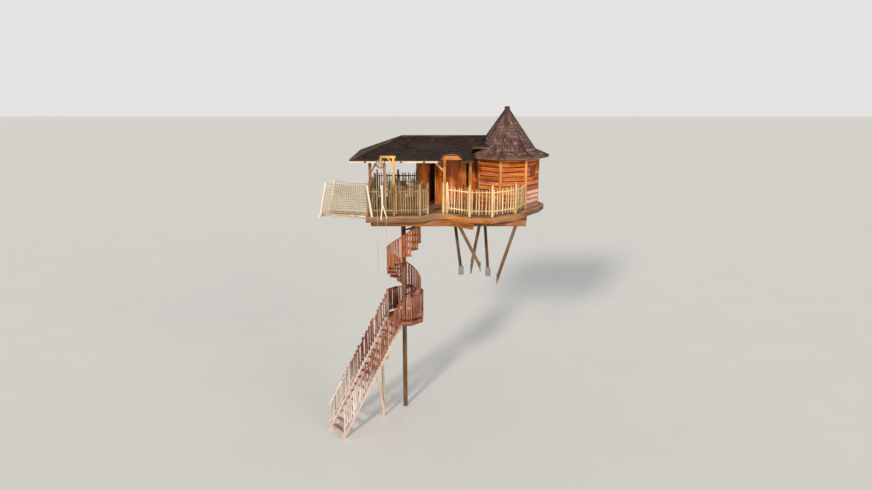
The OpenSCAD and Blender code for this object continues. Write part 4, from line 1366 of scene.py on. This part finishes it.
@dataclass
class Hoist(Part):
    """The hoist: a post with an arm, a wheel, and the two free ends of its rope."""

    rope_d: float = 0.016
    side_y: float = -0.700
    wheel_x: float = -4.215
    wheel_r: float = 0.165
    top_z: float = 2.407
    near_low: float = -8.300
    far_low: float = -7.700
    steps: int = 36
    knot_thick: float = 0.55
    knot_wide: float = 0.62
    knot_lift: float = 0.012

    def rope(self, name: str, node: str, x: float, low: float) -> None:
        """Makes one hanging rope with the knot at its end.

        Args:
            name: the rope's name.
            node: the node that it stands for.
            x: where it leaves the wheel.
            low: the height of its lower end.
        """
        path = [Vector((x, self.side_y, self.top_z - i * (self.top_z - low) / self.steps))
                for i in range(self.steps + 1)]
        rope = self.tube(name, path)
        knot = self.shop.cords(f"{name}_knot", [self.knot(path[-1])], Slot.HOIST_ROPE,
                               self.rope_d * self.knot_thick, sides=8)
        self.fitter.fit(rope, Slot.HOIST_ROPE, [node])

    def knot(self, end: Vector) -> Points:
        """The turns of an overhand knot round a rope's end."""
        turn = [Vector((math.sin(a) + 2 * math.sin(2 * a), math.cos(a) - 2 * math.cos(2 * a), -math.sin(3 * a)))
                for a in np.linspace(0, TURN * 0.97, 40)]
        return [end + UP * self.knot_lift + p * self.rope_d * self.knot_wide for p in turn]

    def tube(self, name: str, path: Points, sides: int = 10) -> Piece:
        """A rope's round body along a line that hangs straight down.

        Args:
            name: the object's name.
            path: the line.
            sides: how many sides it has.

        Returns:
            The tube.
        """
        bm = bmesh.new()
        uv = bm.loops.layers.uv.new(GRAIN)
        angles = [TURN * k / sides for k in range(sides)]
        rings = [[bm.verts.new(point + self.rope_d / 2 * Vector((math.cos(a), math.sin(a), 0))) for a in angles]
                 for point in path]
        step = (path[1] - path[0]).length
        for number, (first, second) in enumerate(zip(rings, rings[1:])):
            low, high = step * number, step * (number + 1)
            for k in range(sides):
                after = (k + 1) % sides
                face = bm.faces.new([first[k], first[after], second[after], second[k]])
                face.smooth = True
                for loop, (reach, side) in zip(face.loops, ((low, k), (low, k + 1), (high, k + 1), (high, k))):
                    loop[uv].uv = (reach, side / sides)
        bm.faces.new(rings[0][::-1])
        bm.faces.new(rings[-1])
        bmesh.ops.recalc_face_normals(bm, faces=bm.faces)
        return to_object(name, bm)

    def ropes(self) -> None:
        """Makes both hanging ropes."""
        self.rope("rope_near", "hoist_rope_near", self.wheel_x + self.wheel_r, self.near_low)
        self.rope("rope_far", "hoist_rope_far", self.wheel_x - self.wheel_r, self.far_low)

    def build(self) -> None:
        """Dresses the post, the arm and the wheel."""
        self.timbers(("hoist_post_and_arm", "hoist_frame", Slot.HOIST_TIMBER, 0.006))
        self.fitter.timber("hoist_turned_wheel", "hoist_wheel", Slot.HOIST_WHEEL, smooth=35)


@dataclass
class Deck(Part):
    """The beams, joists, rim and floor boards, and the steel and poles below them."""

    boards: Boarding = Boarding(width=0.146, gap=0.006, shortest=1.9, longest=3.6, back_out=-0.03, loose=0.002)
    trunks: tuple[float, float] = (0.0, -1.370)
    beam_front: float = -0.100
    bolt: float = 0.045
    bolt_out: float = 0.022
    shoe_bolts: tuple[float, float] = (0.075, 0.15)
    saddle_bolts: tuple[float, float] = (0.09, 0.06)

    def four(self, bolts: StickField, middle: Vector, out: Vector, spread: tuple[float, float],
             rng: random.Random) -> None:
        """Adds four bolts round the middle of a plate.

        Args:
            bolts: the bolts' field.
            middle: the middle of the plate's face.
            out: the way that they stand out.
            spread: how far they lie from the middle, sideways and upright.
            rng: the source of chance.
        """
        aside = Vector((abs(out.y), abs(out.x), 0))
        for across in (-spread[0], spread[0]):
            for rise in (-spread[1], spread[1]):
                foot = middle + aside * across + UP * rise
                bolts.add(foot, foot + out * self.bolt_out, UP, self.bolt, self.bolt, rng.random())

    def bolts(self) -> None:
        """Sets bolts on the brace shoes and through the front beam at the saddles."""
        bolts = StickField("plate_bolts", Stick.BOLT)
        rng = random.Random("bolts")
        poles = solid_points("knee_braces")
        for points in solid_points("brace_shoes"):
            low, high = points.min(0), points.max(0)
            middle = Vector((low + high) / 2)
            thin = int(np.argmin(high - low))
            near = min(poles, key=lambda p: float(np.min(np.linalg.norm(p - np.array(middle), axis=1))))
            out = Vector((0, 0, 0))
            out[thin] = 1.0 if near[:, thin].mean() > middle[thin] else -1.0
            self.four(bolts, middle + out * float((high - low)[thin] / 2), out, self.shoe_bolts, rng)
        for trunk_x in self.trunks:
            self.four(bolts, Vector((trunk_x, self.beam_front, 0)), FRONT, self.saddle_bolts, rng)
        self.shop.sticks(bolts, Slot.BLACK_IRON)

    def build(self) -> None:
        """Builds the deck and what carries it."""
        self.timbers(("beams", "main_beams", Slot.DARK_TIMBER, 0.006),
                     ("joists", "deck_joists", Slot.DARK_TIMBER, 0.0),
                     ("trimmers", "trimmer_frames", Slot.DARK_TIMBER, 0.0),
                     ("rim", "rim_boards", Slot.RIM_TIMBER, 0.004),
                     ("brace_poles", "knee_braces", Slot.ROUND_POLES, 0.0))
        top = flats_of("deck_floor", lambda n, c: n.z > 0.99)[0]
        self.lay("floor_boards", Slot.DECK_BOARDS, self.boards, [(top, -FRONT)], "deck", ["deck_floor"])
        self.fitter.dress("steel", "trunk_saddles", "brace_shoes")
        self.bolts()


@dataclass
class Walls(Part):
    """The boarded walls of the room and the turret, with their posts, windows and door."""

    room_middle: tuple[float, float, float] = (-1.5, 3.1, 1.4)
    turret_middle: tuple[float, float, float] = (0.79, 2.24, 1.4)
    upright: Boarding = Boarding(width=0.15, gap=0.004, shortest=3.0, longest=4.0, low_out=0.018,
                                 high_out=0.018, loose=0.008)
    laps: Boarding = Boarding(width=0.19, gap=0.042, shortest=2.0, longest=3.0, low_out=0.05, high_out=0.01,
                              loose=0.012, wavy=0.024, start=0.35)
    door_boards: Boarding = Boarding(width=0.13, gap=0.004, shortest=3.0, longest=4.0, back_out=-0.038)

    def clad(self, name: str, nodes: Sequence[str], inside: Sequence[float], boards: Boarding) -> None:
        """Boards the outside of walls, in level rows where the boarding has a start, or else upright.

        Args:
            name: the piece's name.
            nodes: the walls' nodes.
            inside: a point within the room.
            boards: how the boards are cut.
        """
        def outward(normal: Vector, middle: Vector) -> bool:
            """Whether a face is upright and looks away from the inside."""
            return abs(normal.z) < 0.05 and normal.dot(middle - Vector(inside)) > 0.3
        rows = []
        for flats in (flats_of(node, outward) for node in nodes):
            rows += [(flat, UP if boards.start else UP.cross(flat.normal).normalized()) for flat in flats
                     if flat.area > flats[0].area * 0.3]
        self.lay(name, Slot.WALL_BOARDS, boards, rows)

    def build(self) -> None:
        """Builds the walls, posts, windows and the door."""
        room = ("front_wall", "door_header", "left_wall", "back_wall", "end_wall")
        turret = ("turret_walls", "turret_window_walls")
        self.fitter.dress("inner_boards", *room)
        # The turret's walls get the nearly black backing: painted shade in the gaps between the laps.
        self.fitter.dress("turret_backing", *turret, "passage_header")
        self.clad("room_boards", room, self.room_middle, self.upright)
        self.clad("turret_boards", turret, self.turret_middle, self.laps)
        self.timbers(("turret_corner_posts", "turret_posts", Slot.CORNER_TIMBER, 0.008),
                     ("room_corner_posts", "room_posts", Slot.CORNER_TIMBER, 0.006),
                     ("door_surround", "door_frame", Slot.CORNER_TIMBER, 0.003),
                     ("window_bars", "window_frames", Slot.WINDOW_TIMBER, 0.003))
        self.fitter.dress("window_glass", "window_glass")
        self.fitter.dress("black_iron", "hinge_pins", "door_straps", "door_handle")
        face = flats_of("door_leaf", lambda n, c: abs(n.z) < 0.05)[0]
        across = UP.cross(face.normal).normalized()
        self.lay("door_planks", Slot.DOOR_BOARDS, self.door_boards, [(face, across)], "door", ["door_leaf"], DOOR)


@dataclass
class Roofs(Part):
    """The shingled roofs with their caps, fascia boards, rafters and flashing."""

    turret_x: float = 0.79
    turret_y: float = 2.24
    notch_x: float = -1.53
    notch_half: float = 0.5
    first_rafter: float = -5.1
    rafter_pitch: float = 0.6
    rafter_count: int = 10
    rafter: tuple[float, float] = (0.05, 0.09)
    rafter_min: float = 0.5
    tail_in: float = 0.2
    top_in: float = 0.03
    joints: tuple[float, ...] = (-4.92, -3.51, -2.61)
    strip: tuple[float, float, float] = (0.075, 0.014, 0.064)
    strip_gap: tuple[float, float] = (0.004, 0.066)
    flashing_size: tuple[float, float] = (0.05, 0.006)
    flashing_in: float = 0.12
    smallest: float = 0.05
    cap_lift: float = 0.024
    clear: float = 0.045
    shingles: Boarding = Boarding(width=0.15, gap=0.0, shortest=0.09, longest=0.19, low_out=0.026,
                                  high_out=0.006, butt_gap=0.006, loose=0.008, ragged=0.016, grain_across=True)

    def cover(self, name: str, node: str, slot: Slot) -> None:
        """Lays shingles on the upper flats of a roof."""
        flats = [flat for flat in flats_of(node, lambda n, c: n.z > 0.15) if flat.area >= self.smallest]
        self.lay(name, slot, self.shingles, [(f, (UP - f.normal * f.normal.z).normalized()) for f in flats])

    def off_turret(self, spot: Vector) -> Vector:
        """How far a corner of a cap on the turret is moved, out and up, to lie on the shingles."""
        out = Vector((spot.x - self.turret_x, spot.y - self.turret_y, 0.0))
        return out.normalized() * min(0.02, out.length * 0.2) + UP * 0.02

    def fascia(self) -> None:
        """Dresses the eave boards and covers their joints with dark strips."""
        self.timbers(("eave_boards", "fascia_boards", Slot.FASCIA_PAINT, 0.003))
        low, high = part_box("fascia_boards")
        strips = StickField("eave_joint_strips", Stick.FLAT)
        (wide, deep, tall), (out, drop) = self.strip, self.strip_gap
        for number, x in enumerate(self.joints):
            foot = Vector((x, low.y - out, high.z - drop))
            strips.add(foot, foot + UP * tall, FRONT, wide, deep, tint=number / 9)
        self.shop.sticks(strips, Slot.ROOF_CAPS, rings=2)

    def rafters(self) -> None:
        """Sets rafters under the front and back slopes of the main roof."""
        rafters = StickField("rafters", Stick.FLAT)
        rng = random.Random("rafters")
        for flat in flats_of("main_roof", lambda n, c: n.z < -0.5 and abs(n.x) < 0.1)[:2]:
            down = (-UP + flat.normal * flat.normal.z).normalized()
            for number in range(self.rafter_count):
                x = self.first_rafter + number * self.rafter_pitch
                ends = self.crossing(flat, x, down)
                at_notch = flat.normal.y < 0 and abs(x - self.notch_x) < self.notch_half
                if at_notch or ends is None or (ends[1] - ends[0]).length < self.rafter_min:
                    continue
                inward = (ends[1] - ends[0]).normalized()
                out = flat.normal * self.clear
                rafters.add(ends[0] + inward * self.tail_in + out, ends[1] - inward * self.top_in + out,
                            flat.normal, *self.rafter, rng.random())
        self.shop.sticks(rafters, Slot.DARK_TIMBER, rings=2)

    @staticmethod
    def crossing(flat: Flat, x: float, down: Vector) -> tuple[Vector, Vector] | None:
        """Where an upright cut enters and leaves a flat.

        Args:
            flat: the flat.
            x: the place of the cut.
            down: the way down the slope.

        Returns:
            The lowest and the highest point, or None where the cut misses the flat.
        """
        edges = [pair for outline in flat.outlines for pair in zip(outline, outline[1:] + outline[:1])]
        found = [one.lerp(other, (x - one.x) / (other.x - one.x)) for one, other in edges
                 if (one.x - x) * (other.x - x) < 0]
        found.sort(key=lambda p: p.dot(down))
        return (found[-1], found[0]) if len(found) > 1 else None

    def flashing(self) -> None:
        """Lays a pale strip of flashing where the turret's roof breaks, over the front window."""
        steep = flats_of("turret_roof", lambda n, c: 0.3 < n.z < 0.75)
        flat = max(steep, key=lambda f: round(f.normal.dot(Vector((0.8, -0.6, 0.0))), 4))
        one, other = sorted(flat.points, key=lambda p: round(p.z, 4))[:2]
        lift = flat.normal * self.clear
        strip = StickField("flashing", Stick.FLAT)
        ends = [one.lerp(other, share) + lift for share in (self.flashing_in, 1 - self.flashing_in)]
        strip.add(*ends, flat.normal, *self.flashing_size, tint=0.4)
        self.shop.sticks(strip, Slot.STEEL, rings=3)

    def build(self) -> None:
        """Builds the roofs."""
        self.fitter.dress("roof_lining", "main_roof", "turret_roof")
        self.cover("main_shingles", "main_roof", Slot.ROOF_SHINGLES)
        self.cover("turret_shingle_courses", "turret_roof", Slot.TURRET_SHINGLES)
        self.fitter.timber("ridge_boards", "ridge_caps", Slot.ROOF_CAPS, lift=lambda p: UP * self.cap_lift)
        self.fitter.timber("hip_boards", "turret_hip_caps", Slot.ROOF_CAPS, lift=self.off_turret)
        self.fascia()
        self.rafters()
        self.flashing()


@dataclass(frozen=True)
class Panel:
    """A railing panel as the frame has it: its lower line, its height and the way that it faces."""

    start: Vector
    end: Vector
    height: float
    face: Vector

    @classmethod
    def from_points(cls, points: np.ndarray) -> "Panel":
        """Finds a panel's line from the corners of its solid.

        Args:
            points: the corners.

        Returns:
            The panel.
        """
        _, _, ways = np.linalg.svd(points[:, :2] - points[:, :2].mean(0), full_matrices=False)
        way = Vector((ways[0][0], ways[0][1], 0)).normalized()
        face = Vector((-way.y, way.x, 0))
        along = points @ np.array(way)
        slope = float(np.polyfit(along, points[:, 2], 1)[0])
        slope = slope if abs(slope) > 0.05 else 0.0
        level = points[:, 2] - slope * along
        aside = float((points @ np.array(face)).mean())

        def at(u: float) -> Vector:
            """The point of the lower line at a place along it."""
            return way * u + face * aside + UP * (float(level.min()) + slope * u)
        return cls(at(float(along.min())), at(float(along.max())), float(level.max() - level.min()), face)


@dataclass(frozen=True)
class Fence:
    """How a railing is made: form and spacing of its stakes, its rails, and whether a rail caps it."""

    form: Stick = Stick.ROUND
    pitch: float = 0.132
    rails: tuple[float, float] = (0.14, 0.86)
    lean: float = 0.02
    uneven: float = 0.045
    raised: float = 0.0
    cap: bool = False


@dataclass
class Stakes(Part):
    """Railings of peeled stakes, each a little different, between stouter posts."""

    thick: float = 0.046
    rail: float = 0.054
    board_wide: float = 1.4
    board_deep: float = 0.024
    stray_top: float = 0.012
    end_post: float = 0.06
    post_below: float = 0.15
    rough: Fence = Fence()
    close: Fence = Fence(pitch=0.094)
    capped: Fence = Fence(form=Stick.FLAT, pitch=0.105, lean=0.006, uneven=0.0, cap=True)
    sloping: Fence = Fence(form=Stick.FLAT, pitch=0.112, rails=(0.42, 1.17), raised=0.2)

    def railing(self, name: str, node: str, slot: Slot, fence: Fence) -> None:
        """Replaces a railing of the frame by stakes and rails.

        Args:
            name: the piece's name.
            node: the node that it stands for.
            slot: its finish.
            fence: how it is made.
        """
        rng = random.Random(name)
        sticks = StickField(name, fence.form)
        rails = StickField(f"{name}_rails", Stick.FLAT if fence.cap else Stick.ROUND)
        posts = StickField(f"{name}_posts", Stick.ROUND)
        for points in solid_points(node):
            if max((points.max(0) - points.min(0))[:2]) < self.post_below:
                self.post(posts, points, self.end_post, rng)
            else:
                self.panel(sticks, rails, Panel.from_points(points), fence, rng)
        self.shop.sticks(sticks, slot, [node], stray=0.016, tip=0.72)
        self.shop.sticks(rails, slot, stray=0.012, tip=0.86, rings=9)
        if posts.feet:
            self.shop.sticks(posts, slot, stray=0.008, rings=9)

    def post(self, sticks: StickField, points: np.ndarray, thick: float, rng: random.Random) -> None:
        """Adds a post.

        Args:
            sticks: the field that grows.
            points: the corners of the post's solid.
            thick: its thickness.
            rng: the source of chance.
        """
        low, high = points.min(0), points.max(0)
        foot = Vector(((low[0] + high[0]) / 2, (low[1] + high[1]) / 2, low[2]))
        lean = Vector((rng.uniform(-1, 1), rng.uniform(-1, 1), 0)) * self.stray_top
        wide = thick * rng.uniform(0.94, 1.1)
        sticks.add(foot, foot + UP * (high[2] - low[2]) + lean, -FRONT, wide, wide, rng.random())

    def panel(self, sticks: StickField, rails: StickField, panel: Panel, fence: Fence,
              rng: random.Random) -> None:
        """Adds a panel's stakes and rails.

        Args:
            sticks: the stakes' field.
            rails: the rails' field.
            panel: the panel.
            fence: how the railing is made.
            rng: the source of chance.
        """
        run = panel.end - panel.start
        level = Vector((run.x, run.y, 0))
        count = max(2, round(level.length / fence.pitch))
        for number in range(count):
            share = (number + 0.5 + rng.uniform(-0.12, 0.12)) / count
            low = panel.start + run * share + UP * (0.0 if fence.cap else rng.uniform(-0.02, 0.03))
            top = low + UP * (panel.height + rng.uniform(-1.2, 0.5) * fence.uneven)
            top += level.normalized() * rng.gauss(0, fence.lean) + panel.face * rng.gauss(0, fence.lean * 0.4)
            wide = self.thick * rng.uniform(0.8, 1.25)
            deep = wide * rng.uniform(0.85, 1.0)
            if sticks.form is Stick.FLAT:
                wide, deep = wide * self.board_wide, self.board_deep
            sticks.add(low + UP * fence.raised, top, panel.face, wide, deep, rng.random())
        for height in (fence.rails[0], panel.height - self.rail / 2 if fence.cap else fence.rails[1]):
            flip = rng.random() < 0.5
            ends = [panel.start + UP * height, panel.end + UP * height][::-1 if flip else 1]
            wide, deep = [self.rail * rng.uniform(0.9, 1.1) for _ in range(2)]
            rails.add(*ends, panel.face, wide, deep * (1.3 if fence.cap else 1.0), rng.random())

    def posts(self, name: str, node: str, slot: Slot, thick: float) -> None:
        """Replaces posts of the frame by peeled posts with eased tops.

        Args:
            name: the piece's name.
            node: the node that it stands for.
            slot: its finish.
            thick: the posts' thickness.
        """
        rng = random.Random(name)
        sticks = StickField(name, Stick.ROUND)
        for points in solid_points(node):
            self.post(sticks, points, thick, rng)
        self.shop.sticks(sticks, slot, [node], stray=0.010, tip=0.5, sides=12, rings=12)

    def build(self) -> None:
        """Builds all railings of stakes."""
        self.posts("deck_posts", "deck_rail_posts", Slot.RAIL_STAKES, 0.098)
        self.railing("bay_stakes", "bay_railing", Slot.RAIL_STAKES, self.rough)
        self.railing("porch_stakes", "porch_railing", Slot.RAIL_STAKES, self.close)
        self.railing("stairwell_stakes", "stairwell_guard", Slot.RAIL_STAKES, self.rough)
        self.posts("landing_posts", "landing_rail_posts", Slot.STAIR_STAKES, 0.062)
        self.railing("landing_slats", "landing_railing", Slot.STAIR_STAKES, self.capped)
        self.railing("flight_slats", "flight_railings", Slot.STAIR_STAKES, self.sloping)


@dataclass
class Stairs(Part):
    """The spiral stair, the landing and the straight flight."""

    boards: Boarding = Boarding(width=0.142, gap=0.008, shortest=2.5, longest=3.5, back_out=-0.04, loose=0.002)
    across_flight: tuple[float, float, float] = (0.743, 0.669, 0)

    def build(self) -> None:
        """Builds the stairs."""
        self.timbers(("mast_pole", "mast", Slot.ROUND_POLES, 0.0),
                     ("spiral_steps", "spiral_treads", Slot.STAIR_TIMBER, 0.004),
                     ("spiral_slats", "spiral_balusters", Slot.STAIR_STAKES, 0.002),
                     ("spiral_rail", "spiral_handrail", Slot.STAIR_STAKES, 0.0),
                     ("landing_joists", "landing_frame", Slot.STAIR_TIMBER, 0.003),
                     ("flight_sides", "stringers", Slot.STAIR_TIMBER, 0.005),
                     ("flight_steps", "flight_treads", Slot.STAIR_TIMBER, 0.004),
                     ("flight_prop", "prop_post", Slot.BRIDGE_BOARDS, 0.0))
        top = flats_of("landing_floor", lambda n, c: n.z > 0.99)[0]
        across = Vector(self.across_flight).normalized()
        self.lay("landing_boards", Slot.STAIR_TIMBER, self.boards, [(top, across)], "landing",
                 ["landing_floor"])


@dataclass
class Bridge(Part):
    """The rope bridge: bleached posts, planks, cables and knotted nets."""

    mesh: float = 0.1
    cord: float = 0.02
    hand_rope: float = 0.03
    slack: float = 0.03
    stray: float = 0.02
    stray_seed: int = 7
    knot: tuple[float, float, float] = (0.04, 0.034, 0.038)
    sag: float = 0.045
    lacing: float = 0.013
    loops: int = 5
    loop_steps: int = 12
    cable_steps: int = 24

    def net(self, name: str, node: str) -> None:
        """Knots a net in the plane of the frame's net.

        Args:
            name: the piece's name.
            node: the node that it stands for.
        """
        points = solid_points(node)[0]
        panel = Panel.from_points(points)
        way = panel.end - panel.start
        way.z = 0
        length = way.length
        way.normalize()
        low, high = float(points[:, 2].min()), float(points[:, 2].max())
        along = points @ np.array(way)
        fixed = panel.start - way * panel.start.dot(way)
        near = [along[np.abs(points[:, 2] - level) < 0.02] for level in (low, high)]
        ends = [(float(line.min()), float(line.max())) for line in near]
        base = float(along.min())
        noise.seed_set(self.stray_seed)  # without it, noise_vector differs from run to run

        def at(share: float, rise: float) -> Vector:
            """A point of the net, with some slack.

            Args:
                share: how far along the net, from 0 to 1.
                rise: how far up, from 0 to 1.

            Returns:
                The point.
            """
            first, last = [below + (above - below) * rise for below, above in zip(*ends)]
            u, z = first + (last - first) * share, low + (high - low) * rise
            slack = self.slack * math.sin(u * 2.1) * (1 - rise)
            stray = noise.noise_vector(Vector((u * 2.3, z * 2.3, base))) * self.stray
            return fixed + way * (u + stray.x) + UP * (z - fixed.z + slack + stray.z)
        rows, columns = round((high - low) / self.mesh), round(length / self.mesh)
        lines = [[at(i / (columns * 2), row / rows) for i in range(columns * 2 + 1)] for row in range(rows + 1)]
        knots = StickField(f"{name}_knots", Stick.KNOT)
        rng = random.Random(name)
        wide, deep, tall = self.knot
        for column in range(columns + 1):
            line = [at(column / columns, i / (rows * 2)) for i in range(rows * 2 + 1)]
            for spot in line[::2]:
                knots.add(spot, spot + UP * tall, panel.face, wide, deep, rng.random())
            lines.append(line)
        self.shop.cords(name, lines, Slot.BRIDGE_ROPE, self.cord / 2, [node])
        self.shop.sticks(knots, Slot.BRIDGE_ROPE)

    def cables(self) -> None:
        """Replaces the cables by ropes, the upper ones with a little slack, and laces the front lower one."""
        lines, low_lines = [], []
        for points in solid_points("bridge_cables"):
            centre = points.mean(0)
            _, _, ways = np.linalg.svd(points - centre, full_matrices=False)
            way, along = Vector(ways[0]), (points - centre) @ ways[0]
            start, end = [Vector(centre) + way * float(u) for u in (along.min(), along.max())]
            sag = self.sag if start.z > 1.0 else 0.0
            shares = [i / self.cable_steps for i in range(self.cable_steps + 1)]
            lines.append([start.lerp(end, u) - UP * sag * math.sin(math.pi * u) for u in shares])
            if not sag:
                low_lines.append((start, end))
        start, end = min(low_lines, key=lambda line: round(line[0].y + line[1].y, 3))
        lacing = []
        for i in range(self.loops * self.loop_steps + 1):
            depth = 0.07 if i // self.loop_steps % 2 else 0.045
            drop = abs(math.sin(math.pi * i / self.loop_steps)) * depth + 0.012
            lacing.append(start.lerp(end, i / (self.loops * self.loop_steps)) - UP * drop + FRONT * 0.02)
        self.shop.cords("lacing_rope", [lacing], Slot.BRIDGE_ROPE, self.lacing, stray=0.01, sides=8)
        self.shop.cords("bridge_ropes", lines, Slot.BRIDGE_ROPE, self.hand_rope / 2, ["bridge_cables"], sides=10)

    def build(self) -> None:
        """Builds the bridge."""
        self.timbers(("bridge_poles", "bridge_posts", Slot.BLEACHED_POLES, 0.004),
                     ("leaning_branches", "leaning_poles", Slot.BLEACHED_POLES, 0.004),
                     ("bridge_deck", "bridge_planks", Slot.BRIDGE_BOARDS, 0.004))
        self.cables()
        self.net("net_near", "bridge_net_near")
        self.net("net_far", "bridge_net_far")


@dataclass
class Porch(Part):
    """The posts, the beam and the braces of the porch."""

    def build(self) -> None:
        """Builds the porch."""
        self.timbers(("porch_pillars", "porch_posts", Slot.CORNER_TIMBER, 0.008),
                     ("porch_plate", "porch_beam", Slot.CORNER_TIMBER, 0.006),
                     ("porch_struts", "porch_braces", Slot.CORNER_TIMBER, 0.005))


def main() -> None:
    """Builds every sub-assembly in order."""
    logging.basicConfig(level=logging.INFO, format="%(message)s")
    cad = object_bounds()
    fitter = Fitter()
    shop = NodeShop(fitter)
    studio = Studio()
    studio.camera()
    hoist = Hoist(fitter, shop)
    hoist.ropes()
    studio.floor(cad[0].z - 0.002)
    studio.light()
    hoist.build()
    for part in (Deck, Walls, Roofs, Porch, Stakes, Stairs, Bridge):
        part(fitter, shop).build()


if __name__ == "__main__":
    main()
